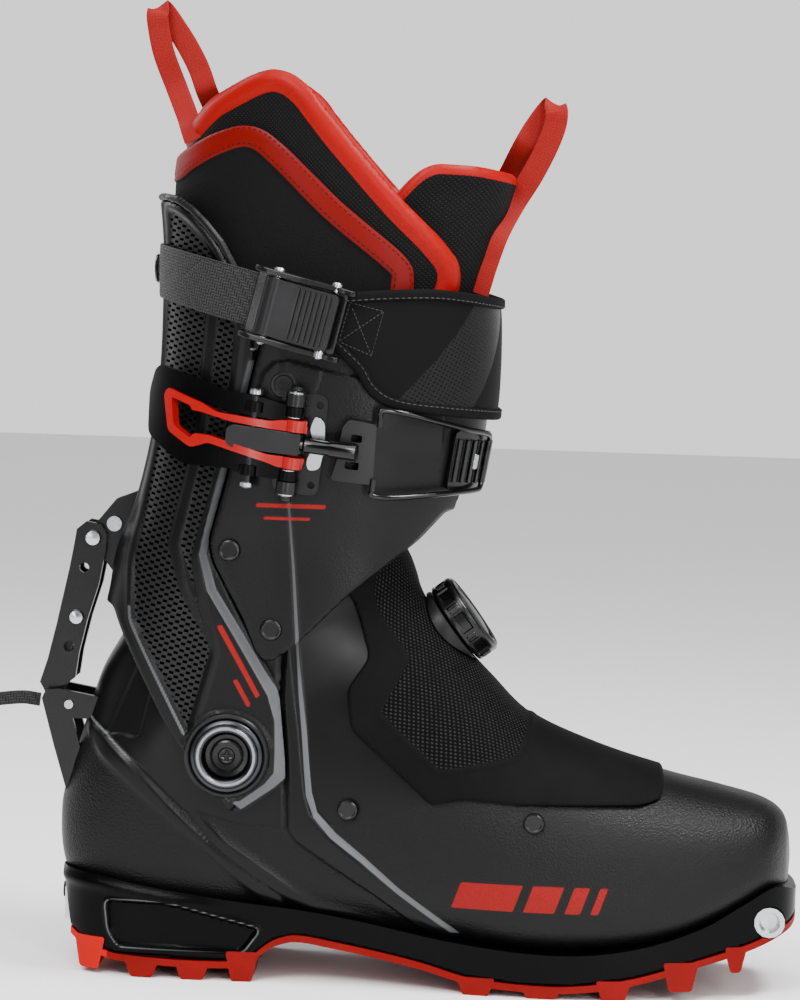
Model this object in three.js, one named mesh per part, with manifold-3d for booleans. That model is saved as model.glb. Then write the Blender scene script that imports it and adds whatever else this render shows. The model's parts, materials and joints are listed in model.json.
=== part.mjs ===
// An alpine touring boot for the right foot: hinged cuff, rubber sole, dial-laced gaiter, inner boot,
// lever buckle, power strap and a ski/walk lock at the heel.
// Millimetres. +X points to the toe, +Y to the inner (medial) side of the foot, +Z up.
// Every shape is laid out from the ankle pivot; the last lines set the boot on the ground.
import * as THREE from 'three';
import { mergeVertices } from 'three/addons/utils/BufferGeometryUtils.js';
import Module from 'manifold-3d';

const wasm = await Module();
wasm.setup();

// ---------------------------------------------------------------- driving dimensions
const PIVOT_HEIGHT = 90; // ankle axis above the ground
const GAP = 0.4; // between parts that touch
const SHELL_WALL = 4;
const CUFF_WALL = 3;
const GAITER_WALL = 1.6;
const RING_POINTS = 24; // corners of each section of the outer surfaces
const INNER_POINTS = 16; // and of the surfaces inside them
const CUFF_POINTS = 28;
const LATERAL = -1;
const MEDIAL = 1;
const BUCKLE_TILT = 5.4; // degrees that the buckle slopes down towards the toe
const BUCKLE_HEIGHT = 125.3; // its middle line above the ankle axis, at the ankle
const STRAP_TILT = 14; // the same two for the power strap
const STRAP_HEIGHT = 179;

// Lower shell, toe to ankle. Each section is a rounded oval in a plane that swings from upright at the toe
// to nearly level at the ankle: instep x, z; sole or heel x, z; lateral and medial half width; where along
// the section it is widest; squareness of its lower and upper half.
const FOOT = [
  [221.5, -28, 221.5, -48, 9, 10, 0.5, 2.4, 2.4],
  [219, -20.5, 219, -50, 20, 22, 0.45, 2.8, 2.4],
  [211, -15.5, 211, -52.5, 31, 32, 0.42, 3, 2.5],
  [194, -11, 194, -62, 40, 39, 0.4, 3.2, 2.4],
  [172, -6, 172, -72, 46, 43, 0.4, 3.2, 2.3],
  [145, 2, 145, -77, 50, 45, 0.4, 3.2, 2.2],
  [118, 13.5, 114, -78, 50, 44, 0.4, 3.2, 2.2],
  [101, 29, 84, -75, 47, 42, 0.42, 3, 2.2],
  [89, 41, 52, -70, 43, 40, 0.44, 3, 2.2],
  [79.5, 51, 18, -69.5, 40, 39, 0.46, 3, 2.3],
  [74, 58, -18, -74, 38.5, 38, 0.48, 2.9, 2.4],
  [71, 63.5, -50, -71, 38, 38, 0.5, 2.8, 2.5],
  [69.5, 68, -66, -52, 38, 38, 0.5, 2.6, 2.5],
  [68, 72, -69, -28, 38, 38, 0.5, 2.5, 2.5],
  [66.5, 75.5, -65, -10, 38, 38, 0.52, 2.4, 2.5],
  [64.5, 79, -60, 8, 37.5, 37.5, 0.54, 2.2, 2.5],
  [62.5, 82, -54, 28, 37, 37, 0.56, 2, 2.5],
  [60, 85, -44, 47, 36, 36, 0.56, 2, 2.5],
  [52, 112, -30, 80, 36, 36, 0.56, 2, 2.5],
];
const RIM_STATION = 17; // the shell ends here; the last station only carries cutters past it

// Leg sections are level ovals: z, rear x, front x, half width, squareness.
const CUFF = [
  [-30, -62, 72, 44.5, 3.4],
  [0, -62, 72, 44.5, 3.4],
  [30, -58, 72, 44.5, 3.4],
  [58, -52, 76, 45.5, 3.2],
  [80, -47.5, 82, 46.5, 2.7],
  [98, -41.5, 90, 48, 2.4],
  [125, -36, 95.5, 50, 2.3],
  [150, -33.5, 97, 51.5, 2.3],
  [178, -33, 97, 52.5, 2.3],
  [200, -33.5, 99, 53, 2.3],
  [222, -36, 103, 53.5, 2.3],
];
const LINER = [
  [80, -36, 70, 41, 2.3],
  [92, -34, 78, 42, 2.3],
  [102, -33, 84.5, 43.5, 2.3],
  [125, -31, 91, 45.5, 2.3],
  [150, -29.5, 93, 47, 2.3],
  [165, -29, 95, 47.5, 2.3],
  [184, -28.5, 99, 47.5, 2.3],
  [202, -29, 108, 48, 2.3],
  [220, -30, 118, 48.5, 2.3],
  [245, -27, 124, 48.5, 2.3],
  [275, -22, 127, 48.5, 2.3],
];
const TONGUE = [
  [100, 4, 78, 28, 2.3],
  [125, 0, 84.5, 30, 2.3],
  [150, -2, 89, 32, 2.3],
  [165, -3, 90.5, 32, 2.3],
  [184, -4, 94, 32.5, 2.3],
  [205, -4, 99.5, 35, 2.3],
  [228, -4, 104.5, 38, 2.3],
  [240, -4, 106, 39, 2.3],
];

// ---------------------------------------------------------------- materials
const finish = (color, roughness, metalness = 0) =>
  new THREE.MeshStandardMaterial({ color, roughness, metalness });
const MATERIALS = {
  shell: finish(0x141416, 0.5),
  carbon: finish(0x1d1d20, 0.35),
  trim: finish(0x0d0d0e, 0.6),
  hardware: finish(0x17181a, 0.35, 0.4),
  steel: finish(0xc9ccd0, 0.2, 1),
  red: finish(0xd61f16, 0.4),
  rubber: finish(0xc4201a, 0.7),
  fabric: finish(0x101012, 0.9),
  webbing: finish(0xd0261c, 0.85),
};

// ---------------------------------------------------------------- numbers and curves
const radians = (degrees) => (degrees * Math.PI) / 180;
const power = (value, exponent) => Math.sign(value) * Math.abs(value) ** exponent;

// A row of a table at any key, by a smooth curve through its rows; the key is the row's first number.
function smoothRow(rows, key) {
  const last = rows.length - 1;
  let i = rows.findIndex((row) => row[0] > key) - 1;
  if (i < 0) i = key < rows[0][0] ? 0 : last - 1;
  const before = rows[Math.max(i - 1, 0)];
  const after = rows[Math.min(i + 2, last)];
  const [from, to] = rows.slice(i, i + 2);
  const span = to[0] - from[0];
  const t = (key - from[0]) / span;
  return from.map((a, k) => {
    const b = to[k];
    const out = ((b - before[k]) / (to[0] - before[0])) * span;
    const into = ((after[k] - a) / (after[0] - from[0])) * span;
    const t2 = t * t;
    const t3 = t2 * t;
    return (2 * t3 - 3 * t2 + 1) * a + (t3 - 2 * t2 + t) * out + (3 * t2 - 2 * t3) * b + (t3 - t2) * into;
  });
}

// ---------------------------------------------------------------- surfaces
// A point of the lower shell at a station; angle 0 is the sole or heel line, half a turn the instep.
function footPoint(station, angle, grow = 0) {
  const row = FOOT[station];
  const [ix, iz, ox, oz, lateral, medial, widest, lower, upper] = row;
  const heel = new THREE.Vector2(ox, oz);
  const along = new THREE.Vector2(ix - ox, iz - oz);
  const length = along.length();
  along.normalize();
  const sole = Math.cos(angle) > 0;
  const e = 2 / (sole ? lower : upper);
  const reach = sole ? -widest * length - grow : (1 - widest) * length + grow;
  const at = widest * length + reach * Math.abs(Math.cos(angle)) ** e;
  const width = (Math.sin(angle) > 0 ? medial : lateral) + grow;
  const forward = grow * Math.max(0, 1 - station / 3);
  return new THREE.Vector3(
    heel.x + along.x * at + forward,
    width * power(Math.sin(angle), e),
    heel.y + along.y * at,
  );
}

// A point of a leg surface; angle 0 is the front, a quarter turn the medial side.
function legPoint(rows, z, angle, grow = 0) {
  const [, rear, front, width, square] = smoothRow(rows, z);
  const e = 2 / square;
  const half = (front - rear) / 2 + grow;
  return new THREE.Vector3(
    (front + rear) / 2 + half * power(Math.cos(angle), e),
    (width + grow) * power(Math.sin(angle), e),
    z,
  );
}

// The leg surface's distance from the middle plane at a place in the side view.
function legY(rows, x, z, grow = 0) {
  const [, rear, front, width, square] = smoothRow(rows, z);
  const half = (front - rear) / 2 + grow;
  const share = Math.min(1, Math.abs(x - (front + rear) / 2) / half);
  return (width + grow) * (1 - share ** square) ** (1 / square);
}

// A point of the lower shell between two stations.
function footBetween(station, angle, grow) {
  const whole = Math.min(Math.floor(station), FOOT.length - 2);
  return footPoint(whole, angle, grow).lerp(footPoint(whole + 1, angle, grow), station - whole);
}

// A point on a band that goes round the leg on a plane sloping down towards the toe.
function bandPoint(rows, angle, height, tilt, grow) {
  let z = height;
  let point;
  for (let pass = 0; pass < 6; pass += 1) {
    point = legPoint(rows, z, angle, grow);
    z = height - Math.tan(radians(tilt)) * point.x;
  }
  return point;
}

// A place on such a band, with its directions: along the band, up and outwards.
function spot(rows, angle, height, tilt, grow) {
  const origin = bandPoint(rows, angle, height, tilt, grow);
  const step = 0.02;
  const along = bandPoint(rows, angle + step, height, tilt, grow)
    .sub(bandPoint(rows, angle - step, height, tilt, grow))
    .normalize();
  const rise = bandPoint(rows, angle, height + 1, tilt, grow).sub(origin);
  const out = new THREE.Vector3().crossVectors(along, rise).normalize();
  const up = new THREE.Vector3().crossVectors(out, along);
  return { origin, along, up, out };
}

// The angle of a leg section at which its lateral side reaches an x.
function lateralAngle(rows, x, z) {
  const [, rear, front, , square] = smoothRow(rows, z);
  const share = (x - (front + rear) / 2) / ((front - rear) / 2);
  return 2 * Math.PI - Math.acos(power(share, square / 2));
}

// ---------------------------------------------------------------- solids
const quad = (a, b, c, d) => [a, b, c, a, c, d];

// Closed solid through a list of rings with the same number of points, capped at both ends.
function loft(rings) {
  const count = rings[0].length;
  const points = rings.flat();
  const faces = [];
  for (let r = 0; r + 1 < rings.length; r += 1)
    for (let k = 0; k < count; k += 1) {
      const next = (k + 1) % count;
      faces.push(...quad(r * count + k, r * count + next, (r + 1) * count + next, (r + 1) * count + k));
    }
  const middle = (ring) =>
    ring.reduce((sum, p) => sum.clone().add(p), new THREE.Vector3()).divideScalar(count);
  const first = points.push(middle(rings[0])) - 1;
  const last = points.push(middle(rings.at(-1))) - 1;
  const end = (rings.length - 1) * count;
  for (let k = 0; k < count; k += 1) {
    const next = (k + 1) % count;
    faces.push(first, next, k, last, end + k, end + next);
  }
  const geometry = new THREE.BufferGeometry();
  geometry.setAttribute('position', new THREE.Float32BufferAttribute(points.flatMap((p) => p.toArray()), 3));
  geometry.setIndex(faces);
  return geometry;
}

function solid(geometry) {
  const bare = new THREE.BufferGeometry();
  const source = geometry.index ? geometry.toNonIndexed() : geometry;
  bare.setAttribute('position', source.getAttribute('position'));
  const merged = mergeVertices(bare, 1e-3);
  const triVerts = new Uint32Array(merged.index.array);
  const build = () =>
    new wasm.Manifold(new wasm.Mesh({ numProp: 3, vertProperties: merged.attributes.position.array, triVerts }));
  const made = build();
  if (made.volume() > 0) return made;
  for (let i = 0; i < triVerts.length; i += 3)
    [triVerts[i + 1], triVerts[i + 2]] = [triVerts[i + 2], triVerts[i + 1]];
  return build();
}

function geometryOf(body) {
  const largest = body.decompose().sort((a, b) => b.volume() - a.volume())[0];
  const mesh = largest.getMesh();
  const geometry = new THREE.BufferGeometry();
  geometry.setAttribute('position', new THREE.BufferAttribute(new Float32Array(mesh.vertProperties), 3));
  geometry.setIndex(new THREE.BufferAttribute(new Uint32Array(mesh.triVerts), 1));
  return geometry;
}

const lofted = (rings) => solid(loft(rings));
const shapeOf = (points) => new THREE.Shape(points.map(([a, b]) => new THREE.Vector2(a, b)));

// A side-view outline of x and z, extruded across the boot from one y to another.
function sidePrism(outline, from, to) {
  const geometry = new THREE.ExtrudeGeometry(shapeOf(outline), { depth: to - from, bevelEnabled: false });
  geometry.rotateX(Math.PI / 2);
  geometry.translate(0, to, 0);
  return solid(geometry);
}

// A plan outline of x and y, extruded upwards.
function planPrism(outline, from, to) {
  const geometry = new THREE.ExtrudeGeometry(shapeOf(outline), { depth: to - from, bevelEnabled: false });
  geometry.translate(0, 0, from);
  return solid(geometry);
}

function block(x0, x1, y0, y1, z0, z1) {
  const geometry = new THREE.BoxGeometry(x1 - x0, y1 - y0, z1 - z0);
  geometry.translate((x0 + x1) / 2, (y0 + y1) / 2, (z0 + z1) / 2);
  return solid(geometry);
}

// A turned piece whose profile gives radius and height; its axis is laid along a direction at a point.
function turned(profile, at, direction, segments = 14) {
  const geometry = new THREE.LatheGeometry(profile.map(([r, h]) => new THREE.Vector2(r, h)), segments);
  const up = new THREE.Vector3(0, 1, 0);
  geometry.applyQuaternion(new THREE.Quaternion().setFromUnitVectors(up, direction.clone().normalize()));
  geometry.translate(at.x, at.y, at.z);
  return solid(geometry);
}

const rod = (at, direction, radius, from, to, segments = 12) =>
  turned([[0, from], [radius, from], [radius, to], [0, to]], at, direction, segments);

// A flat band along points, each with the outward direction there; sides gives its width at each point.
function band(points, outwards, sides, thickness) {
  const rings = points.map((p, i) => {
    const out = outwards[i].clone().normalize();
    const ahead = points[Math.min(i + 1, points.length - 1)].clone().sub(points[Math.max(i - 1, 0)]).normalize();
    const across = new THREE.Vector3().crossVectors(out, ahead).normalize();
    const [low, high] = sides[i];
    const corner = (w, t) => p.clone().addScaledVector(across, w).addScaledVector(out, t);
    return [corner(low, 0), corner(high, 0), corner(high, thickness), corner(low, thickness)];
  });
  return lofted(rings);
}

// A band lying on the leg from one angle to another; sides gives how far it reaches down and up at each end.
function legBand(rows, line, angles, sides, grow, thickness) {
  const [height, tilt] = line;
  const spots = angles.map((a) => spot(rows, a, height, tilt, grow));
  return band(spots.map((s) => s.origin), spots.map((s) => s.out), sides, thickness);
}

const spread = (from, to, count) =>
  Array.from({ length: count }, (_, i) => from + ((to - from) * i) / (count - 1));

// A round bar along a smooth curve.
function bar(points, radius, sides, steps) {
  const curve = new THREE.CatmullRomCurve3(points, false, 'centripetal');
  const ring = new THREE.Shape();
  ring.absarc(0, 0, radius, 0, 2 * Math.PI);
  const settings = { extrudePath: curve, steps, curveSegments: sides, bevelEnabled: false };
  return solid(new THREE.ExtrudeGeometry(ring, settings));
}

const turns = (count) => Array.from({ length: count }, (_, k) => (2 * Math.PI * k) / count);
const footLoft = (grow, points = RING_POINTS, last = FOOT.length - 1) =>
  lofted(FOOT.slice(0, last + 1).map((_, station) => turns(points).map((a) => footPoint(station, a, grow))));

const legLoft = (rows, grow, points) =>
  lofted(rows.map(([z]) => turns(points).map((a) => legPoint(rows, z, a, grow))));

// A leg wall from its outer surface inwards, open at both ends.
const legWall = (rows, outer, inner, points) => {
  const [[lowest], [highest]] = [rows[0], rows.at(-1)];
  const core = [lowest - 20, ...rows.map(([z]) => z), highest + 20].map((z) =>
    turns(points).map((a) => legPoint(rows, Math.max(lowest, Math.min(highest, z)), a, inner).setZ(z)),
  );
  return legLoft(rows, outer, points).subtract(lofted(core));
};

// ---------------------------------------------------------------- the tree of parts
const boot = new THREE.Group();
function part(name, body, material) {
  const mesh = new THREE.Mesh(geometryOf(body), material);
  mesh.name = name;
  boot.add(mesh);
}

const SIDES = [['lateral', LATERAL], ['medial', MEDIAL]];
const side = (sign) => new THREE.Vector3(0, sign, 0);
const at = (x, y, z) => new THREE.Vector3(x, y, z);
const BEYOND = 400;

// ---------------------------------------------------------------- sole
// Seen from below: half width at each x of the walking sole.
const SOLE_WIDTHS = [
  [-66.5, 10], [-63, 20], [-55, 28.5], [-42, 34], [-20, 36.5], [10, 36.5], [35, 35], [60, 37.5], [88, 43.5],
  [116, 47], [144, 47.5], [165, 45], [184, 41], [199, 36.5], [211, 31.5], [219, 25], [223.5, 17], [225, 8],
];
const solePlan = (grow) => {
  const edge = SOLE_WIDTHS.map(([x, w]) => [x, w + grow]);
  return [...edge.map(([x, w]) => [x, -w]), ...edge.toReversed().map(([x, w]) => [x, w])];
};
// The line where the black sole block meets the red rubber, heel to toe.
const WELT = [
  [-62, -73], [-54, -77.5], [-42, -81], [9, -81.5], [14, -77], [20, -72.8], [28, -70.8], [42, -72.6], [78, -78.5],
  [96, -82.8], [118, -84.6], [137, -84.4], [160, -81], [183, -74.5], [206, -67.5], [222, -60.5], [225.5, -57],
];
const SOLE_TOP = [
  [225.5, -49], [216, -46], [204, -52], [186, -62], [160, -70], [130, -73], [90, -70], [50, -64], [28, -61],
  [0, -58], [-30, -54], [-50, -51], [-67, -50],
];
const footSolid = footLoft(GAP);
const toeBore = rod(at(213.5, 0, -60), side(1), 6.3, -60, 60);
const heelRecess = block(-80, -59.5, -15, 15, -73, -58.5);
const solePlate = sidePrism([...WELT, ...SOLE_TOP], -60, 60)
  .intersect(planPrism(solePlan(0), -100, 0))
  .subtract(footSolid)
  .subtract(toeBore)
  .subtract(heelRecess);
part('sole_plate', solePlate, MATERIALS.shell);

const lowered = (points, by) => points.map(([x, z]) => [x, z - by]);
const RUBBER = 3;
// Lugs: x at the root from and to, and how far each reaches down to the ground.
const LUGS = [
  [-60, -47], [-39, -25], [-19, -5], [1, 14], [92, 107], [117, 133], [146, 160], [172, 186], [196, 205],
];
const weltZ = (x) => {
  const i = Math.max(1, WELT.findIndex(([wx]) => wx > x));
  const [[x0, z0], [x1, z1]] = [WELT[i - 1], WELT[i]];
  return z0 + ((z1 - z0) * (x - x0)) / (x1 - x0);
};
const LUG_TAPER = 2.5;
const GROUND = -PIVOT_HEIGHT;
let rubber = sidePrism([...lowered(WELT, GAP), ...lowered(WELT, RUBBER).toReversed()], -60, 60);
for (const [from, to] of LUGS) {
  const root = Math.max(weltZ(from), weltZ(to)) - 1.5;
  const foot = Math.max(GROUND, Math.min(weltZ(from), weltZ(to)) - 8.5);
  const outline = [[from, root], [from + LUG_TAPER, foot], [to - LUG_TAPER, foot], [to, root]];
  const lug = sidePrism(outline, -60, 60).subtract(block(from - 1, to + 1, -11, 11, GROUND - 1, foot + 4.5));
  rubber = rubber.add(lug);
}
rubber = rubber.intersect(planPrism(solePlan(0.3), -100, 0)).subtract(solePlate).subtract(toeBore);
part('outsole', rubber, MATERIALS.rubber);

const insertEnd = 30.5;
part(
  'toe_insert',
  turned(
    [[0, -insertEnd + 5.2], [3.3, -insertEnd + 5], [4.2, -insertEnd], [6, -insertEnd], [6, insertEnd],
      [4.2, insertEnd], [3.3, insertEnd - 5], [0, insertEnd - 5.2]],
    at(213.5, 0, -60),
    side(1),
  ),
  MATERIALS.steel,
);
const pinSlot = (y) => block(-70, -59, y - 3.2, y + 3.2, -75, -63.8);
const heelScrewHole = rod(at(-63, 0, -62.5), at(1, 0, 0), 2.4, -10, 10);
part(
  'heel_insert',
  block(-65.5, -60, -14, 14, -72, -59)
    .subtract(pinSlot(-7.5))
    .subtract(pinSlot(7.5))
    .subtract(heelScrewHole)
    .subtract(footSolid),
  MATERIALS.steel,
);
part(
  'heel_insert_screw',
  turned([[0, 0], [2, 0], [2, 5.8], [3.6, 5.8], [3.2, 7.6], [0, 7.6]], at(-60.2, 0, -62.5), at(-1, 0, 0)),
  MATERIALS.hardware,
);

// ---------------------------------------------------------------- lower shell
const rimOf = (grow) => footLoft(grow, RING_POINTS, RIM_STATION);
const throat = sidePrism([[128, -2], [148, 30], [80, 100], [40, 100], [30, 60], [66, 40], [92, 12]], -23, 23);
const pivotHole = (sign, radius) => rod(at(0, 0, 0), side(sign), radius, 20, 70);
const AXLE = at(-66, 0, 14); // the bar that the lock's jaw grips
let lowerShell = rimOf(0).subtract(footLoft(-SHELL_WALL, INNER_POINTS)).subtract(throat);
for (const sign of [LATERAL, MEDIAL]) {
  const boss = rod(at(0, 0, 0), side(sign), 14, 33.4, 39.6, 20);
  lowerShell = lowerShell.add(boss).subtract(pivotHole(sign, 6.4));
}
part('lower_shell', lowerShell, MATERIALS.shell);

const inside = footLoft(-SHELL_WALL - GAP, INNER_POINTS);
const FLOOR = [[-70, -64], [45, -64], [110, -68], [150, -68], [185, -60], [230, -45]];
const aboveFloor = (lift) => {
  const floor = FLOOR.map(([x, z]) => [x, z + lift]);
  return sidePrism([...floor, [230, 150], [-90, 150], [-90, -64 + lift]], -60, 60);
};
const LINER_WALL = 5.5;
part('boot_board', inside.subtract(aboveFloor(0)), MATERIALS.trim);
const linerHollow = footLoft(-SHELL_WALL - LINER_WALL, INNER_POINTS).intersect(aboveFloor(4));
const ankleCut = rod(at(0, 0, 0), side(1), 69, -60, 60, 48).add(block(0, 250, -60, 60, -90, 50));
let linerFoot = inside.intersect(aboveFloor(GAP)).subtract(linerHollow).intersect(ankleCut);
for (const sign of [LATERAL, MEDIAL]) linerFoot = linerFoot.subtract(pivotHole(sign, 16));
part('liner_foot', linerFoot, MATERIALS.fabric);
part(
  'footbed',
  footLoft(-SHELL_WALL - LINER_WALL - GAP, INNER_POINTS).intersect(aboveFloor(4 + GAP)).subtract(aboveFloor(8)),
  MATERIALS.fabric,
);

// ---------------------------------------------------------------- gaiter over the instep
const GAITER = [
  [44.7, 52.4], [50, 41], [47.4, 27], [50, 11.7], [80, -16.5], [91.5, -13.4], [115, -14.6], [161.5, -14.3],
  [170.3, -11.7], [172, 20], [60, 120], [20, 84], [24, 58],
];
const gaiterZone = sidePrism(GAITER, -70, 70);
const rivetHole = (x, z, sign, radius) => rod(at(x, 0, z), side(sign), radius, 15, 70);
part('gaiter', rimOf(GAP + GAITER_WALL).subtract(footLoft(GAP)).intersect(gaiterZone), MATERIALS.fabric);

// ---------------------------------------------------------------- lacing dial
const DIAL_AXIS = at(Math.cos(radians(37)), 0, Math.sin(radians(37)));
const DIAL_SEAT = at(85.5, 0, 49.2);
const plinth = rod(DIAL_SEAT, DIAL_AXIS, 17.5, -6, 2.6, 28)
  .subtract(rimOf(2 * GAP + GAITER_WALL))
  .subtract(rod(DIAL_SEAT, DIAL_AXIS, 5.2, -1, 10));
part('dial_base', plinth, MATERIALS.hardware);
part(
  'dial_hub',
  turned(
    [[0, 1], [4.6, 1], [4.6, 3.2], [13, 3.2], [13, 4.2], [4.6, 4.2], [4.6, 10.2], [0, 10.2]],
    DIAL_SEAT,
    DIAL_AXIS,
  ),
  MATERIALS.hardware,
);
const knobProfile = [
  [5, 4.8], [15.2, 4.8], [16.4, 5.6], [16.4, 10.6], [15, 12.2], [11, 12.2], [9.6, 11], [5, 11], [5, 4.8],
];
let knob = turned(knobProfile, DIAL_SEAT, DIAL_AXIS, 24);
const sideways = new THREE.Vector3().crossVectors(DIAL_AXIS, side(1));
const GRIPS = 6;
for (let k = 0; k < GRIPS; k += 1) {
  const turn = (2 * Math.PI * k) / GRIPS;
  const edge = DIAL_SEAT.clone()
    .addScaledVector(sideways, 18.2 * Math.cos(turn))
    .addScaledVector(side(1), 18.2 * Math.sin(turn));
  knob = knob.subtract(rod(edge, DIAL_AXIS, 3, 5.8, 14, 6));
}
part('dial_knob', knob, MATERIALS.hardware);
// The lace zigzags under the gaiter, across the open throat of the shell.
const laceAngle = (share) => Math.PI + share * radians(26);
const LACE_STOPS = [[11, 0.15], [10, 1], [9, -1], [8, 0.9], [7, -0.7]];
const lacePath = LACE_STOPS.slice(1).flatMap(([station, share], i) => {
  const [before, shareBefore] = LACE_STOPS[i];
  return spread(0, 1, 7)
    .slice(i ? 1 : 0)
    .map((t) => footBetween(before + (station - before) * t, laceAngle(shareBefore + (share - shareBefore) * t), -1.6));
});
part('lace', bar(lacePath, 0.6, 3, 32), MATERIALS.steel);

// ---------------------------------------------------------------- cuff
const REAR_CUFF = [
  [-75, 201.6], [-13.6, 201.6], [-10, 197], [-4.5, 183], [9, 162], [6.8, 154], [0, 123], [-3.4, 109],
  [-9.6, 84], [-8.2, 76], [4.2, 53.4], [19.4, 26.7], [22.5, -0.3], [23, -10], [7, -22], [1.5, -22], [-4.2, -13],
  [-11.4, -7], [-25.6, 13.7], [-42, 44], [-48, 56], [-75, 56],
];
const FRONT_CUFF = [
  [9.9, 162.6], [16, 171], [50, 171], [120, 166], [120, 97], [82, 97], [71.6, 85.5], [45.7, 64.4], [26.8, 45.1],
  [13.5, 38], [5.1, 53.8], [-7.3, 76.2], [-8.7, 84], [-2.5, 108.9], [0.9, 122.9], [7.7, 153.9],
];
const notchZone = sidePrism([[58, 60], [120, 60], [120, 106], [58, 106]], -23, 23);
const cuffTube = legWall(CUFF, 0, -CUFF_WALL, CUFF_POINTS);
let cuffRear = cuffTube.intersect(sidePrism(REAR_CUFF, -70, 70));
let cuffFront = cuffTube.intersect(sidePrism(FRONT_CUFF, -70, 70)).subtract(notchZone);
const CUFF_RIVETS = [[-1, 80.4], [16, 50]];
for (const sign of [LATERAL, MEDIAL]) {
  cuffRear = cuffRear.subtract(rod(at(0, 0, 0), side(sign), 12.2, 30, 70, 28));
  for (const [x, z] of CUFF_RIVETS) cuffFront = cuffFront.subtract(rivetHole(x, z, sign, 1.9));
}

// The pivot: a bearing ring in each cheek of the cuff, on a bolt fixed in the shell.
const boltProfile = [
  [0, 31.8], [9, 31.8], [9, 33], [6, 33], [6, 41.6], [8.6, 41.6], [8.6, 46.6], [7.4, 47.4], [3.2, 45.6], [0, 45.6],
];
const ringProfile = [
  [9.2, 40.2], [11.8, 40.2], [11.8, 45], [13.8, 45], [13.8, 46.4], [12, 48], [9.2, 48], [9.2, 40.2],
];
for (const [name, sign] of SIDES) {
  part(`pivot_bolt_${name}`, turned(boltProfile, at(0, 0, 0), side(sign), 16), MATERIALS.hardware);
  part(`pivot_ring_${name}`, turned(ringProfile, at(0, 0, 0), side(sign), 20), MATERIALS.steel);
}

const rivetProfile = (length) => [[0, -length], [1.5, -length], [1.5, 0], [4, 0], [3.4, 1.3], [0, 1.6]];
for (const [name, sign] of SIDES)
  CUFF_RIVETS.forEach(([x, z], i) => {
    const face = at(x, sign * (legY(CUFF, x, z) + 0.9), z);
    part(`cuff_rivet_${name}_${i + 1}`, turned(rivetProfile(3), face, side(sign), 12), MATERIALS.hardware);
  });
// Two rivets hold the gaiter's lower edge to each side of the shell.
const GAITER_RIVETS = [[47.6, -19.7], [120.2, -21.3]];
// How far out the lower shell is at a place in the side view.
function shellReach(x, z, sign) {
  let best = { away: BEYOND };
  for (let station = 0; station < FOOT.length - 1; station += 0.25)
    for (let k = 1; k < 60; k += 1) {
      const p = footBetween(station, Math.PI * (1 - (sign * k) / 60), 0);
      const away = Math.hypot(p.x - x, p.z - z);
      if (away < best.away) best = { away, y: Math.abs(p.y) };
    }
  return best.y;
}
for (const [name, sign] of SIDES)
  GAITER_RIVETS.forEach(([x, z], i) => {
    const face = at(x, sign * (shellReach(x, z, sign) + 1.4), z);
    const head = turned([[0, 0], [4, 0], [3.4, 1.2], [0, 1.5]], face, side(sign), 16);
    part(`gaiter_rivet_${name}_${i + 1}`, head, MATERIALS.hardware);
  });

// ---------------------------------------------------------------- spine bracket and ski/walk lock
const LOCK_PIN = at(-58.6, 0, 80.2);
const BRACKET = [[-40, 100], [-50, 96], [-58, 86], [-63.5, 82], [-63, 76.5], [-57, 75], [-50, 66], [-44, 64]];
const bracketBolt = at(-50.5, 0, 86);
const cross = (where, radius, reach, segments = 12) => rod(where, side(1), radius, -reach, reach, segments);
part(
  'spine_bracket',
  sidePrism(BRACKET, -5.4, 5.4)
    .subtract(legLoft(CUFF, GAP, CUFF_POINTS))
    .subtract(cross(LOCK_PIN, 2.3, 20))
    .subtract(cross(bracketBolt, 1.9, 20)),
  MATERIALS.hardware,
);
const bracketBoltProfile = [
  [0, -7.2], [3, -7.2], [3, -5.8], [1.5, -5.8], [1.5, 5.8], [3, 5.8], [3, 7.2], [0, 7.2],
];
part('bracket_bolt', turned(bracketBoltProfile, bracketBolt, side(1), 16), MATERIALS.steel);
part('cuff_rear', cuffRear, MATERIALS.carbon);
const SPOILER = [[-75, 202], [-14, 202], [-22, 211], [-36, 219], [-75, 219]];
part('spoiler', cuffTube.intersect(sidePrism(SPOILER, -70, 70)), MATERIALS.trim);
part('cuff_front', cuffFront, MATERIALS.shell);

const UNLATCHED = 4.5; // degrees that the jaw stands off its axle at rest
const swing = (body, pivot, degrees) =>
  body.translate(-pivot.x, -pivot.y, -pivot.z).rotate([0, degrees, 0]).translate(pivot.x, pivot.y, pivot.z);
const CHEEK = [
  [-56, 86], [-62, 86.5], [-65.5, 83], [-66, 76], [-67.5, 60], [-69, 45], [-71, 30], [-73.5, 20], [-71.5, 17],
  [-63, 21], [-60, 24], [-59.5, 34], [-57.5, 48], [-54.5, 62], [-53.2, 76], [-53.4, 82],
];
const WEB = [[-66.5, 70], [-69.6, 45], [-71.8, 30], [-74, 20.4], [-72, 19], [-69.5, 30], [-67, 46], [-64.6, 66]];
const webWindow = sidePrism([[-80, 52], [-60, 52], [-60, 60], [-80, 60]], -3.5, 3.5);
const lowWindow = sidePrism([[-80, 32], [-60, 32], [-60, 42], [-80, 42]], -3, 3);
const cheekWindow = (x, z, r) => cross(at(x, 0, z), r, 20, 10);
let lever = sidePrism(CHEEK, -8.4, -6)
  .add(sidePrism(CHEEK, 6, 8.4))
  .add(sidePrism(WEB, -8.2, 8.2))
  .subtract(webWindow)
  .subtract(lowWindow)
  .subtract(cross(LOCK_PIN, 2.3, 20))
  .subtract(cheekWindow(-61, 68, 2))
  .subtract(cheekWindow(-63.8, 36, 2.2));
const JAW_PIN = at(-62, 0, 48);
lever = lever.subtract(cross(JAW_PIN, 2.1, 20));
part('lock_lever', swing(lever, LOCK_PIN, UNLATCHED), MATERIALS.hardware);
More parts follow.
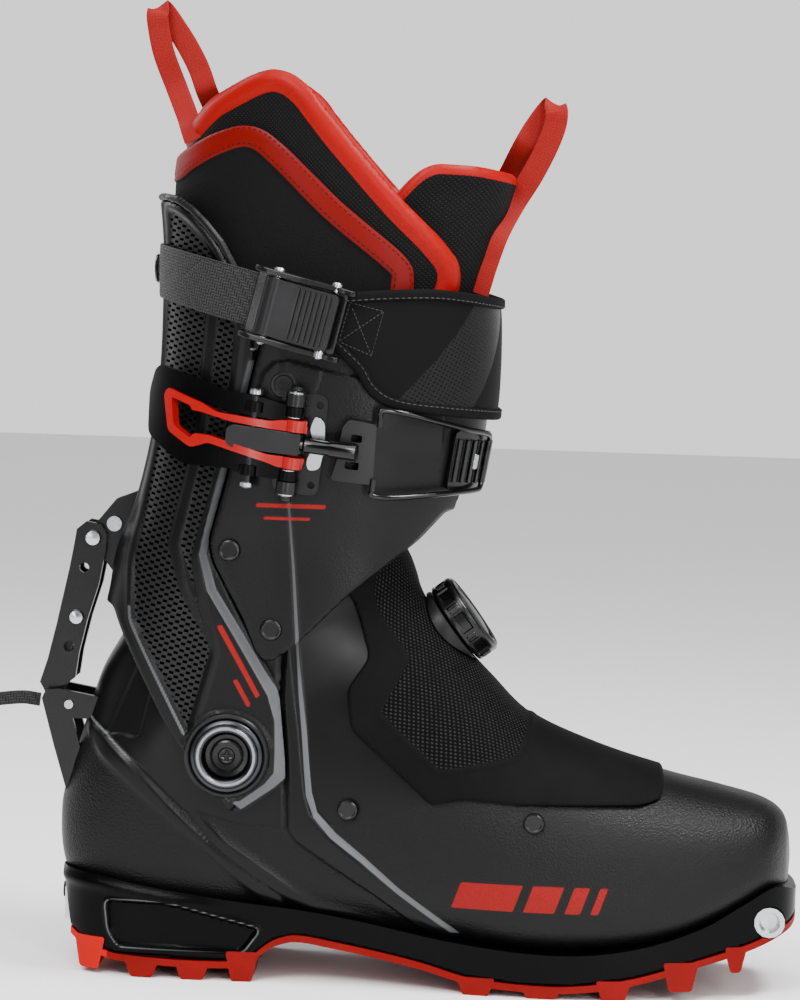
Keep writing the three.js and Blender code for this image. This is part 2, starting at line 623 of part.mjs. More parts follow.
const lockPinProfile = [
  [0, -10.6], [2.8, -10.2], [3.3, -8.8], [1.9, -8.8], [1.9, 8.8], [3.3, 8.8], [2.8, 10.2], [0, 10.6],
];
part('lock_pin', turned(lockPinProfile, LOCK_PIN, side(1)), MATERIALS.steel);
// The jaw opens forwards on the axle.
const JAW = [
  [-59, 50], [-60, 53], [-65, 53], [-66, 49], [-67.5, 36], [-70, 24], [-71.5, 14], [-69.5, 8.6], [-64.4, 8.6],
  [-63.8, 11.6], [-68.2, 11.8], [-68.2, 16.2], [-64, 16.4], [-64.2, 20], [-63.5, 34],
];
const jaw = sidePrism(JAW, -5.6, 5.6).subtract(cross(JAW_PIN, 2.1, 20));
part('lock_jaw', swing(jaw, LOCK_PIN, UNLATCHED), MATERIALS.steel);
const jawPinProfile = [
  [0, -10.2], [2.6, -9.8], [3.1, -8.8], [1.7, -8.8], [1.7, 8.8], [3.1, 8.8], [2.6, 9.8], [0, 10.2],
];
part('jaw_pin', swing(turned(jawPinProfile, JAW_PIN, side(1)), LOCK_PIN, UNLATCHED), MATERIALS.steel);
const TAB = [[-73, 13.4], [-76, 14.6], [-92, 12.4], [-112, 14], [-113.5, 12], [-113, 8.6], [-92, 6.4], [-74, 7.4]];
part('lock_pull_tab', swing(sidePrism(TAB, -2, 2), LOCK_PIN, UNLATCHED), MATERIALS.fabric);

// The catch: two cheeks on the heel, with the axle between them.
const CATCH = [
  [-77, 16], [-75.5, 19.5], [-70, 20], [-50, 16.5], [-50.5, 8], [-64.5, 8.5], [-61, -4], [-63, -19], [-66.5, -20],
  [-72, -2],
];
for (const [name, sign] of SIDES) {
  const [inner, outer] = sign > 0 ? [10.5, 13] : [-13, -10.5];
  part(
    `catch_cheek_${name}`,
    sidePrism(CATCH, inner, outer).subtract(footSolid).subtract(cross(AXLE, 2.1, 30)),
    MATERIALS.hardware,
  );
}
part('catch_axle', cross(AXLE, 1.8, 14.5), MATERIALS.steel);

// ---------------------------------------------------------------- inner boot around the leg
const LOWER_EDGE = [[40, 101], [12, 106.5], [6, 93], [-8, 79], [-30, 72], [-60, 54]];
const LINER_OUTLINE = [
  ...LOWER_EDGE, [-60, 240], [-28, 243], [-21, 250], [-15.4, 255], [-7.8, 259], [1.7, 264], [9.4, 266.4],
  [17.2, 265], [25, 259.6], [37, 244.5], [61, 218], [77, 203], [84.5, 193.7], [84.8, 184], [76, 165], [68, 150],
  [62, 106],
];
const FLAP_OUTLINE = [
  ...LOWER_EDGE, [-60, 226], [-30, 231], [-24.7, 234.8], [-12.6, 241], [-1, 244.4], [7.5, 242.7], [16.5, 236],
  [38.4, 215.5], [62, 197], [67, 191], [67, 183.6], [66, 150], [64, 106],
];
const TONGUE_OUTLINE = [
  [80, 98], [62, 104], [50, 108], [44, 160], [48, 205], [61, 222.5], [67.7, 229], [73.6, 231.7], [89.6, 231.4],
  [110, 228], [110, 98],
];
const FLAP_WALL = 1.6;
const flap = legWall(LINER, 0, -FLAP_WALL, INNER_POINTS).intersect(sidePrism(FLAP_OUTLINE, -70, 70));
part('liner_flap', flap, MATERIALS.fabric);
const linerWall = legWall(LINER, -FLAP_WALL - GAP, -FLAP_WALL - 6, INNER_POINTS);
part('liner_cuff', linerWall.intersect(sidePrism(LINER_OUTLINE, -70, 70)), MATERIALS.red);
const tongueWall = legWall(TONGUE, 0, -5, INNER_POINTS);
part('tongue', tongueWall.intersect(sidePrism(TONGUE_OUTLINE, -70, 70)), MATERIALS.fabric);

// A pull loop of webbing that stands in the middle plane, along points of x and z.
function pullLoop(name, points) {
  const curve = new THREE.CatmullRomCurve3(points.map(([x, z]) => at(x, 0, z)), false, 'centripetal');
  const path = curve.getPoints(16);
  const outwards = path.map((_, i) => {
    const ahead = path[Math.min(i + 1, 16)].clone().sub(path[Math.max(i - 1, 0)]);
    return new THREE.Vector3(-ahead.z, 0, ahead.x);
  });
  part(name, band(path, outwards, path.map(() => [-5, 5]), 1.5), MATERIALS.webbing);
}
const REAR_LOOP = [
  [-31.6, 222], [-31.6, 240], [-37, 262], [-42.5, 281], [-39, 291], [-31, 282], [-20, 265], [-15.4, 256], [-15, 247],
];
const FRONT_LOOP = [
  [105.8, 232], [110.5, 242], [113, 253], [119, 257], [121, 250], [115.5, 234], [106.6, 214], [101.4, 198],
];
pullLoop('rear_loop', REAR_LOOP);
pullLoop('front_loop', FRONT_LOOP);

// ---------------------------------------------------------------- power strap
const STRAP_LINE = [STRAP_HEIGHT, STRAP_TILT];
const STRAP_HALF = 10.5;
const strapEnd = lateralAngle(CUFF, 6, 178);
const strapAngles = spread(radians(52), strapEnd, 22);
const strapSides = strapAngles.map(() => [-STRAP_HALF, STRAP_HALF]);
part('power_strap', legBand(CUFF, STRAP_LINE, strapAngles, strapSides, 2 * GAP, 1.5), MATERIALS.fabric);
const strapRear = spot(CUFF, Math.PI, STRAP_HEIGHT, STRAP_TILT, 2 * GAP + 1.5 + GAP);
const strapRivetProfile = [[0, 0], [4.4, 0], [3.8, 1.2], [0, 1.5]];
part('strap_rivet', turned(strapRivetProfile, strapRear.origin, strapRear.out, 16), MATERIALS.steel);
const padAngles = spread(lateralAngle(CUFF, 38, 170) - 2 * Math.PI, radians(48), 16);
const padSides = padAngles.map((a) => {
  const front = Math.cos(Math.max(-Math.PI / 2, Math.min(Math.PI / 2, a * 1.15))) ** 0.8;
  return [-9 - 11 * front, 10.5 + 13 * front];
});
part('strap_pad', legBand(CUFF, STRAP_LINE, padAngles, padSides, 2 * GAP, 3.6), MATERIALS.fabric);

// Local pieces are laid out along u, v and w: along the band, up and outwards.
function placed(body, { origin, along, up, out }) {
  const basis = new THREE.Matrix4().makeBasis(along, up, out).setPosition(origin);
  return body.transform(basis.toArray());
}
const WORLD = { along: at(1, 0, 0), up: at(0, 1, 0), out: at(0, 0, 1) };
const cam = spot(CUFF, lateralAngle(CUFF, 23, 173), STRAP_HEIGHT, STRAP_TILT, 5.2);
const camPin = at(-9, 0, 5);
const camFrame = block(-17, 17, -13.5, 13.5, 0, 1.4)
  .add(block(-14, 8, -13.5, -12, 0, 7))
  .add(block(-14, 8, 12, 13.5, 0, 7))
  .subtract(rod(camPin, WORLD.up, 1.9, -20, 20));
part('strap_buckle_frame', placed(camFrame, cam), MATERIALS.hardware);
part('strap_buckle_pin', placed(rod(camPin, WORLD.up, 1.5, -14.5, 14.5), cam), MATERIALS.steel);
const camLever = rod(camPin, WORLD.up, 2.9, -11.4, 11.4)
  .add(block(-9, 15, -11.4, 11.4, 4.4, 6.8))
  .subtract(block(-3, 10, -7, 7, 5.8, 8))
  .subtract(rod(camPin, WORLD.up, 1.9, -20, 20));
part('strap_buckle_lever', placed(camLever, cam), MATERIALS.hardware);

// ---------------------------------------------------------------- cuff buckle
const BUCKLE_LINE = [BUCKLE_HEIGHT, BUCKLE_TILT];
const buckleSpot = (x, grow) => spot(CUFF, lateralAngle(CUFF, x, 123), BUCKLE_HEIGHT, BUCKLE_TILT, grow);
const hinge = buckleSpot(22.7, 6); // the lever turns on the ears of the base here
const link = { ...hinge, origin: buckleSpot(8, 4.6).origin }; // and pulls the tension rod here
const baseAngles = spread(lateralAngle(CUFF, 16.5, 123), lateralAngle(CUFF, 34, 123), 4);
let base = legBand(CUFF, BUCKLE_LINE, baseAngles, baseAngles.map(() => [-19.6, 19.6]), GAP, 1.2);
for (const v of [-1, 1]) {
  const ear = block(-4, 4, Math.min(v * 17.6, v * 19.4), Math.max(v * 17.6, v * 19.4), -4.9, 1.5)
    .add(rod(at(0, 0, 0), at(0, v, 0), 4, 17.6, 19.4))
    .add(rod(at(0, 0, 0), at(0, v, 0), 1.6, 13.2, 18));
  base = base.add(placed(ear, hinge));
}
part('buckle_base', base.subtract(legLoft(CUFF, GAP, CUFF_POINTS)), MATERIALS.hardware);
const leverAngles = spread(lateralAngle(CUFF, -32, 128), lateralAngle(CUFF, 21, 123), 9);
const leverBand = (angles, half, grow, thick) =>
  legBand(CUFF, BUCKLE_LINE, angles, angles.map(() => [-half, half]), grow, thick);
const windowAngles = spread(lateralAngle(CUFF, -27, 128), lateralAngle(CUFF, 27, 123), 9);
let buckleLever = leverBand(leverAngles, 17, 4.6, 2.6).subtract(leverBand(windowAngles, 11.5, 1, 9));
for (const v of [-1, 1]) {
  buckleLever = buckleLever.add(placed(rod(at(0, 0, 0), at(0, v, 0), 3.4, 13.4, 17), hinge));
  buckleLever = buckleLever.add(placed(rod(at(0, 0, 0), at(0, v, 0), 3.4, 13.4, 17), link));
}
const through = (place, radius) => placed(rod(at(0, 0, 0), at(0, 1, 0), radius, -30, 30), place);
buckleLever = buckleLever.subtract(through(hinge, 2)).subtract(through(link, 2));
part('buckle_lever', buckleLever, MATERIALS.hardware);
const innerAngles = spread(lateralAngle(CUFF, -26.4, 128), lateralAngle(CUFF, 1, 123), 6);
const openAngles = spread(lateralAngle(CUFF, -18, 128), lateralAngle(CUFF, -6, 123), 4);
part(
  'buckle_lever_insert',
  leverBand(innerAngles, 11, 5, 1.9).subtract(leverBand(openAngles, 6.5, 2, 9)),
  MATERIALS.red,
);
part('buckle_link_pin', placed(rod(at(0, 0, 0), at(0, 1, 0), 1.6, -17.6, 17.6), link), MATERIALS.steel);
const bracketSpot = { ...hinge, origin: buckleSpot(53, 7).origin };
const reach = bracketSpot.origin.clone().sub(link.origin);
const rodDirection = reach.clone().normalize();
const blockBody = placed(rod(at(0, 0, 0), at(0, 1, 0), 3.8, -7.5, 7.5), link)
  .add(rod(link.origin, rodDirection, 2.9, 0, 8))
  .subtract(through(link, 2))
  .subtract(rod(link.origin, rodDirection, 2.2, 4.6, 30));
part('tension_block', blockBody, MATERIALS.hardware);
part('tension_rod', rod(link.origin, rodDirection, 1.8, 5, reach.length() - 3.6), MATERIALS.steel);
const plateSpot = { ...hinge, origin: link.origin.clone().addScaledVector(rodDirection, 26) };
part(
  'tension_plate',
  placed(block(-1.2, 1.2, -9.5, 9.5, -1.8, 3), plateSpot).subtract(rod(link.origin, rodDirection, 2.2, 0, 60)),
  MATERIALS.steel,
);
const TUBE_HALF = 14;
const upright = (radius, from, to) => rod(at(0, 0, 0), WORLD.up, radius, from, to);
const tube = upright(3, -TUBE_HALF, TUBE_HALF).subtract(upright(1.5, -20, -8)).subtract(upright(1.5, 8, 20));
part('bail_tube', placed(tube, bracketSpot), MATERIALS.hardware);

// The wire bail runs from the tube round to the front and hooks a tooth of the rack.
const BAIL_STOPS = [[60, 7, 16.5], [70, 5.6, 15], [84, 4.8, 12.5], [92, 4.8, 11]];
const bailSide = (v) =>
  BAIL_STOPS.map(([x, grow, half]) => {
    const s = buckleSpot(x, grow);
    return s.origin.addScaledVector(s.up, v * half);
  });
const inTube = (v, half) => bracketSpot.origin.clone().addScaledVector(bracketSpot.up, v * half);
const CROSSBAR = radians(344.5);
const crossbar = spot(CUFF, CROSSBAR, BUCKLE_HEIGHT, BUCKLE_TILT, 4.3);
const onCrossbar = (v, half) => crossbar.origin.clone().addScaledVector(crossbar.up, v * half);
const bailPath = [
  inTube(1, 10), inTube(1, 14), inTube(1, 16.4), ...bailSide(1), onCrossbar(1, 9), onCrossbar(1, 4),
  onCrossbar(-1, 4), onCrossbar(-1, 9), ...bailSide(-1).toReversed(), inTube(-1, 16.4), inTube(-1, 14), inTube(-1, 10),
];
part('wire_bail', bar(bailPath, 1.1, 3, 44), MATERIALS.hardware);
const rackAngles = spread(radians(322), radians(356), 8);
let rack = legBand(CUFF, BUCKLE_LINE, rackAngles, rackAngles.map(() => [-12, 12]), GAP, 1.8);
for (const degrees of [324, 329, 334, 340.5, 349.5, 354]) {
  const tooth = [radians(degrees - 0.8), radians(degrees + 0.8)];
  rack = rack.add(legBand(CUFF, BUCKLE_LINE, tooth, tooth.map(() => [-8, 8]), GAP + 1, 2.3));
}
part('buckle_rack', rack, MATERIALS.hardware);

// The boot stands on the ground with its footprint's middle at the origin.
const bounds = new THREE.Box3().setFromObject(boot);
boot.position.set(-(bounds.min.x + bounds.max.x) / 2, -(bounds.min.y + bounds.max.y) / 2, -bounds.min.z);
boot.updateMatrixWorld(true);
export default boot;
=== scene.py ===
"""An alpine touring boot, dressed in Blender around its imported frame.

Shapes are laid out in millimetres from the ankle pivot, as in the part: x to the toe, y to the inner side,
z up. world() turns them into the frame's metres.
"""
import json
import math

import bpy
import numpy as np
from mathutils import Matrix, Vector

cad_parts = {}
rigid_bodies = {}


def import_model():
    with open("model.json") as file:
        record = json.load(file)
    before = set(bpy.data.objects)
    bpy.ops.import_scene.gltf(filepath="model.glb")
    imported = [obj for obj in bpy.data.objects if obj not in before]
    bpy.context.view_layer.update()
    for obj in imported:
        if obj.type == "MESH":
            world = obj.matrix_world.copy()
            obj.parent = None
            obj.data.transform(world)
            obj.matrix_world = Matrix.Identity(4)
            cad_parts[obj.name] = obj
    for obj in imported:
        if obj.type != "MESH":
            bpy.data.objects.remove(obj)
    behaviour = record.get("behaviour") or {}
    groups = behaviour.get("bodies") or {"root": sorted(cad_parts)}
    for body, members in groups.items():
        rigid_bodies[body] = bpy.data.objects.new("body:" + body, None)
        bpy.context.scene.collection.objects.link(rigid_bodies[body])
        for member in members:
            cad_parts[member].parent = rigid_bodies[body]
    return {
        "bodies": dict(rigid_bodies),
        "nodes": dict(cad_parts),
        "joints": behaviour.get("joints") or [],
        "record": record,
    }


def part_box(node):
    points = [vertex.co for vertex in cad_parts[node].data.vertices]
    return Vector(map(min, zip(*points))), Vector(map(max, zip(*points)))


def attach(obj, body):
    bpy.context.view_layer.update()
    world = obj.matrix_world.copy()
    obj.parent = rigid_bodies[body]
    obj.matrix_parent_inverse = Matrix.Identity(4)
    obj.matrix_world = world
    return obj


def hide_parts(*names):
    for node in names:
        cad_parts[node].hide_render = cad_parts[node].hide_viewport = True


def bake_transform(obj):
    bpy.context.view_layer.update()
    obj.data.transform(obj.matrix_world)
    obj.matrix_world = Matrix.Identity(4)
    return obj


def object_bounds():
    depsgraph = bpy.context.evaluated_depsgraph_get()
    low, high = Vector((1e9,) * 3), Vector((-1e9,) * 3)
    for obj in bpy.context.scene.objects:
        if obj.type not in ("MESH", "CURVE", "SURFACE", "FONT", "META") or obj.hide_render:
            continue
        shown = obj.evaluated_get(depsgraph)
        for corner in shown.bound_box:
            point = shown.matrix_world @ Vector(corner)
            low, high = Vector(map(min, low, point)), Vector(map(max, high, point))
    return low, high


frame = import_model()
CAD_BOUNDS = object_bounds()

MM = 0.001
AXIS = (0, 0, 0)  # the middle of the ankle's axis, in millimetres
SIDES = (("lateral", -1), ("medial", 1))
ENDS = (("lower", -1), ("upper", 1))


def middle(node):
    low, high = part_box(node)
    return (Vector(low) + Vector(high)) / 2


PIVOT = (middle("pivot_ring_lateral") + middle("pivot_ring_medial")) / 2

# ------------------------------------------------------------------ camera
CAMERA_DISTANCE = 1400
CAMERA_AZIMUTH = 2.25
CAMERA_ELEVATION = 3.9
CAMERA_AIM = (62.6, 0, 98.8)
CAMERA_ROLL = 1.77
FRAME_HEIGHT = 398.3
SENSOR = 36


def world(points):
    return np.asarray(points, float) * MM + np.array(PIVOT)


def make_camera():
    data = bpy.data.cameras.new("camera")
    camera = bpy.data.objects.new("camera", data)
    bpy.context.scene.collection.objects.link(camera)
    turn, rise = math.radians(CAMERA_AZIMUTH), math.radians(CAMERA_ELEVATION)
    aim = Vector(CAMERA_AIM)
    back = Vector((math.sin(turn) * math.cos(rise), -math.cos(turn) * math.cos(rise), math.sin(rise)))
    place = aim + back * CAMERA_DISTANCE
    look = (aim - place).to_track_quat("-Z", "Y").to_matrix().to_4x4()
    roll = Matrix.Rotation(math.radians(CAMERA_ROLL), 4, "Z")
    camera.matrix_world = Matrix.Translation(Vector(world(place))) @ look @ roll
    data.sensor_width = SENSOR
    data.lens = SENSOR * (aim - place).length / FRAME_HEIGHT
    data.clip_start = 0.01
    bpy.context.scene.camera = camera


make_camera()

# ------------------------------------------------------------------ section tables, as in the part
FOOT = [
    (222.4, -36, 222.4, -41, 2, 2, 0.5, 2.2, 2.2),
    (221.5, -28, 221.5, -48, 9, 10, 0.5, 2.4, 2.4),
    (219, -20.5, 219, -50, 20, 22, 0.45, 2.8, 2.4),
    (211, -15.5, 211, -52.5, 31, 32, 0.42, 3, 2.5),
    (194, -11, 194, -62, 40, 39, 0.4, 3.2, 2.4),
    (172, -6, 172, -72, 46, 43, 0.4, 3.2, 2.3),
    (145, 2, 145, -77, 50, 45, 0.4, 3.2, 2.2),
    (118, 13.5, 114, -78, 50, 44, 0.4, 3.2, 2.2),
    (101, 29, 84, -75, 47, 42, 0.42, 3, 2.2),
    (89, 41, 52, -70, 43, 40, 0.44, 3, 2.2),
    (79.5, 51, 18, -69.5, 40, 39, 0.46, 3, 2.3),
    (74, 58, -18, -74, 38.5, 38, 0.48, 2.9, 2.4),
    (71, 63.5, -50, -71, 38, 38, 0.5, 2.8, 2.5),
    (69.5, 68, -66, -52, 38, 38, 0.5, 2.6, 2.5),
    (68, 72, -69, -28, 38, 38, 0.5, 2.5, 2.5),
    (66.5, 75.5, -65, -10, 38, 38, 0.52, 2.4, 2.5),
    (64.5, 79, -60, 8, 37.5, 37.5, 0.54, 2.2, 2.5),
    (62.5, 82, -54, 28, 37, 37, 0.56, 2, 2.5),
    (60, 85, -44, 47, 36, 36, 0.56, 2, 2.5),
    (52, 112, -30, 80, 36, 36, 0.56, 2, 2.5),
]
RIM = len(FOOT) - 2  # the shell's top edge is this section
CUFF = [
    (-30, -62, 72, 44.5, 3.4),
    (0, -62, 72, 44.5, 3.4),
    (30, -58, 72, 44.5, 3.4),
    (58, -52, 76, 45.5, 3.2),
    (80, -47.5, 82, 46.5, 2.7),
    (98, -41.5, 90, 48, 2.4),
    (125, -36, 95.5, 50, 2.3),
    (150, -33.5, 97, 51.5, 2.3),
    (178, -33, 97, 52.5, 2.3),
    (200, -33.5, 99, 53, 2.3),
    (222, -36, 103, 53.5, 2.3),
]
LINER = [
    (80, -36, 70, 41, 2.3),
    (92, -34, 78, 42, 2.3),
    (102, -33, 84.5, 43.5, 2.3),
    (125, -31, 91, 45.5, 2.3),
    (150, -29.5, 93, 47, 2.3),
    (165, -29, 95, 47.5, 2.3),
    (184, -28.5, 99, 47.5, 2.3),
    (202, -29, 108, 48, 2.3),
    (220, -30, 118, 48.5, 2.3),
    (245, -27, 124, 48.5, 2.3),
    (275, -22, 127, 48.5, 2.3),
]
TONGUE = [
    (100, 4, 78, 28, 2.3),
    (125, 0, 84.5, 30, 2.3),
    (150, -2, 89, 32, 2.3),
    (165, -3, 90.5, 32, 2.3),
    (184, -4, 94, 32.5, 2.3),
    (205, -4, 99.5, 35, 2.3),
    (228, -4, 104.5, 38, 2.3),
    (240, -4, 106, 39, 2.3),
]


def smooth_rows(rows, keys):
    """Rows of a table at any keys, by a smooth curve through them. A row's first number is its key."""
    rows = np.asarray(rows, float)
    keys = np.asarray(keys, float)
    i = np.clip(np.searchsorted(rows[:, 0], keys, side="right") - 1, 0, len(rows) - 2)
    before, start = rows[np.maximum(i - 1, 0)], rows[i]
    end, after = rows[i + 1], rows[np.minimum(i + 2, len(rows) - 1)]
    span = end[..., :1] - start[..., :1]
    t = (keys[..., None] - start[..., :1]) / span
    out = (end - before) / (end[..., :1] - before[..., :1]) * span
    into = (after - start) / (after[..., :1] - start[..., :1]) * span
    t2, t3 = t * t, t * t * t
    from_start = (2 * t3 - 3 * t2 + 1) * start + (t3 - 2 * t2 + t) * out
    return from_start + (3 * t2 - 2 * t3) * end + (t3 - t2) * into


def power(value, exponent):
    return np.sign(value) * np.abs(value) ** exponent


FOOT_ROWS = [(i, *row) for i, row in enumerate(FOOT)]


def foot_points(station, angle, grow=0.0):
    """Points of the lower shell; angle 0 is the sole or heel line, half a turn the instep."""
    station, angle, grow = np.broadcast_arrays(station, angle, grow)
    row = smooth_rows(FOOT_ROWS, station)
    ix, iz, ox, oz, lateral, medial, widest, lower, upper = (row[..., k] for k in range(1, 10))
    length = np.hypot(ix - ox, iz - oz)
    ax, az = (ix - ox) / length, (iz - oz) / length
    sole = np.cos(angle) > 0
    e = 2 / np.where(sole, lower, upper)
    reach = np.where(sole, -widest * length - grow, (1 - widest) * length + grow)
    along = widest * length + reach * np.abs(np.cos(angle)) ** e
    width = np.where(np.sin(angle) > 0, medial, lateral) + grow
    forward = grow * np.clip(1 - (station - 1) / 3, 0, 1)
    return np.stack([ox + ax * along + forward, width * power(np.sin(angle), e), oz + az * along], -1)


def leg_points(rows, z, angle, grow=0.0):
    """Points of a leg surface; angle 0 is the front, a quarter turn the medial side."""
    z, angle, grow = np.broadcast_arrays(z, angle, grow)
    row = smooth_rows(rows, z)
    rear, front, width, square = (row[..., k] for k in range(1, 5))
    e = 2 / square
    half = (front - rear) / 2 + grow
    x = (front + rear) / 2 + half * power(np.cos(angle), e)
    return np.stack([x, (width + grow) * power(np.sin(angle), e), z + 0 * x], -1)


def leg_y(rows, x, z, grow=0.0):
    """How far the leg surface is from the middle plane at a place in the side view."""
    row = smooth_rows(rows, z)
    rear, front, width, square = (row[..., k] for k in range(1, 5))
    half = (front - rear) / 2 + grow
    share = np.minimum(1, np.abs(x - (front + rear) / 2) / half)
    return (width + grow) * (1 - share**square) ** (1 / square)


# ------------------------------------------------------------------ flat geometry in the side view
def rounded(points, radius, steps=5):
    """A closed outline with its corners rounded."""
    points = [np.array(p, float) for p in points]
    made = []
    for i, corner in enumerate(points):
        for_, to = points[i - 1], points[(i + 1) % len(points)]
        a, b = for_ - corner, to - corner
        cut = min(radius, np.linalg.norm(a) * 0.45, np.linalg.norm(b) * 0.45)
        a, b = corner + a / np.linalg.norm(a) * cut, corner + b / np.linalg.norm(b) * cut
        for t in np.linspace(0, 1, steps):
            made.append((1 - t) ** 2 * a + 2 * t * (1 - t) * corner + t * t * b)
    return np.array(made)


def path_lengths(points):
    """How far along an open path each of its points is."""
    return np.concatenate([[0], np.cumsum(np.linalg.norm(np.diff(points, axis=0), axis=1))])


def curve_through(points, steps=8):
    """An open smooth curve through points of any dimension."""
    points = np.asarray(points, float)
    keys = path_lengths(points)
    rows = np.column_stack([keys, points])
    at = np.concatenate([np.linspace(a, b, steps, endpoint=False) for a, b in zip(keys[:-1], keys[1:])])
    return smooth_rows(rows, np.append(at, keys[-1]))[:, 1:]


def line_distance(x, z, line):
    """Distance in the side view from places to an open line of points."""
    best = np.full(np.shape(x), 1e9)
    for (x0, z0), (x1, z1) in zip(line[:-1], line[1:]):
        dx, dz = x1 - x0, z1 - z0
        t = np.clip(((x - x0) * dx + (z - z0) * dz) / max(dx * dx + dz * dz, 1e-9), 0, 1)
        best = np.minimum(best, np.hypot(x - x0 - t * dx, z - z0 - t * dz))
    return best


def inside(x, z, outline):
    result = np.zeros(np.shape(x), bool)
    for (x0, z0), (x1, z1) in zip(outline, np.roll(np.asarray(outline, float), -1, axis=0)):
        crosses = (z0 > z) != (z1 > z)
        with np.errstate(divide="ignore", invalid="ignore"):
            result ^= crosses & (x < (x1 - x0) * (z - z0) / (z1 - z0) + x0)
    return result


def depth_in(x, z, outline):
    """How deep inside a closed outline places are; negative outside."""
    outline = np.asarray(outline, float)
    distance = line_distance(x, z, np.vstack([outline, outline[:1]]))
    return np.where(inside(x, z, outline), distance, -distance)


def ramp(value, low, high):
    t = np.clip((value - low) / (high - low), 0, 1)
    return t * t * (3 - 2 * t)


def edge_drop(depth, radius):
    """How far a surface falls away within radius of its edge, for a rounded edge."""
    share = 1 - np.clip(depth / radius, 0, 1)
    return radius * (1 - np.sqrt(np.maximum(0, 1 - share * share)))


# ------------------------------------------------------------------ meshes
def make_object(name, points, faces, smooth_angle=40):
    mesh = bpy.data.meshes.new(name)
    mesh.from_pydata(world(points).tolist(), [], [tuple(int(k) for k in face) for face in faces])
    mesh.update()
    made = bpy.data.objects.new(name, mesh)
    bpy.context.scene.collection.objects.link(made)
    smooth(made, smooth_angle)
    return made


def smooth(piece, angle=40):
    piece.data.shade_smooth()
    piece.data.set_sharp_from_angle(angle=math.radians(angle))


def grid_faces(rows, columns, ring=False):
    """Faces between rows of points that close on themselves; in a ring the last row meets the first."""
    faces = []
    for r in range(rows if ring else rows - 1):
        above = (r + 1) % rows
        for k in range(columns):
            n = (k + 1) % columns
            faces.append((r * columns + k, r * columns + n, above * columns + n, above * columns + k))
    return faces


def make_solid(name, points, faces, smooth_angle=40):
    made = make_object(name, points, faces, smooth_angle)
    outward(made)
    return made


def loft(name, rings, smooth_angle=40):
    """A closed solid through rings of points, with flat ends."""
    rings = np.asarray(rings, float)
    count, size = rings.shape[:2]
    faces = grid_faces(count, size)
    first, last = count * size, count * size + 1
    base = (count - 1) * size
    for k in range(size):
        n = (k + 1) % size
        faces.append((first, n, k))
        faces.append((last, base + k, base + n))
    points = np.vstack([rings.reshape(-1, 3), rings[0].mean(0), rings[-1].mean(0)])
    return make_solid(name, points, faces, smooth_angle)


def extrusion(name, rings):
    """A solid between two outlines with as many points."""
    size = len(rings[0])
    faces = grid_faces(2, size) + [tuple(range(size))[::-1], tuple(range(size, 2 * size))]
    return make_solid(name, np.vstack(rings), faces)


def outward(piece):
    """Turns a closed mesh's faces outwards."""
    mesh = piece.data
    mesh.calc_loop_triangles()
    count = len(mesh.loop_triangles)
    corners = np.empty(count * 3, int)
    mesh.loop_triangles.foreach_get("vertices", corners)
    points = np.empty(len(mesh.vertices) * 3)
    mesh.vertices.foreach_get("co", points)
    a, b, c = points.reshape(-1, 3)[corners].reshape(-1, 3, 3).transpose(1, 0, 2)
    if np.einsum("ij,ij->i", a, np.cross(b, c)).sum() < 0:
        mesh.flip_normals()


def prism(name, outline, low=-80, high=80):
    """A side-view outline of x and z, carried across the boot."""
    x, z = np.asarray(outline, float).T
    return extrusion(name, [np.column_stack([x, np.full(len(x), y), z]) for y in (low, high)])


def combine(piece, cutter, how="DIFFERENCE"):
    """Cuts, joins or clips a closed piece with another, which is used up."""
    modifier = piece.modifiers.new("combine", "BOOLEAN")
    modifier.operation = how
    modifier.object = cutter
    modifier.solver = "MANIFOLD"
    apply_modifiers(piece)
    mesh = cutter.data
    bpy.data.objects.remove(cutter)
    bpy.data.meshes.remove(mesh)


def apply_modifiers(piece):
    graph = bpy.context.evaluated_depsgraph_get()
    graph.update()
    mesh = bpy.data.meshes.new_from_object(piece.evaluated_get(graph))
    piece.modifiers.clear()
    old = piece.data
    piece.data = mesh
    bpy.data.meshes.remove(old)


def places(piece):
    """A piece's points in millimetres from the pivot."""
    mesh = piece.data
    co = np.empty(len(mesh.vertices) * 3)
    mesh.vertices.foreach_get("co", co)
    return (co.reshape(-1, 3) - np.array(PIVOT)) / MM


def paint(piece, name, values):
    """Stores a number on each point, for a material to read."""
    attribute = piece.data.attributes.new(name, "FLOAT", "POINT")
    values = np.broadcast_to(values, len(piece.data.vertices))
    attribute.data.foreach_set("value", values.astype(np.float32))


def paint_zone(piece, name, depth):
    """Stores how far inside a zone each point is: a material draws the zone's edge sharper than the mesh."""
    paint(piece, name, np.clip(0.5 + np.asarray(depth) / ZONE_REACH, 0, 1))


def unwrap(piece, u, v):
    """Stores flat fabric coordinates, in metres, as the piece's UV map."""
    mesh = piece.data
    layer = mesh.uv_layers[0] if mesh.uv_layers else mesh.uv_layers.new(name="cloth")
    index = np.empty(len(mesh.loops), int)
    mesh.loops.foreach_get("vertex_index", index)
    layer.uv.foreach_set("vector", (np.column_stack([u, v]) * MM)[index].astype(np.float32).ravel())


def bevel(piece, width, angle=35):
    """Rounds a piece's sharp edges."""
    modifier = piece.modifiers.new("edge", "BEVEL")
    modifier.width = width * MM
    modifier.segments = 2
    modifier.limit_method = "ANGLE"
    modifier.angle_limit = math.radians(angle)
    modifier.harden_normals = False


ZONE_REACH = 8.0
FAR_OUT, FAR_IN = -4, 4  # depths that are surely outside and inside a zone


def wear(piece, look):
    piece.data.materials.clear()
    piece.data.materials.append(look.material)


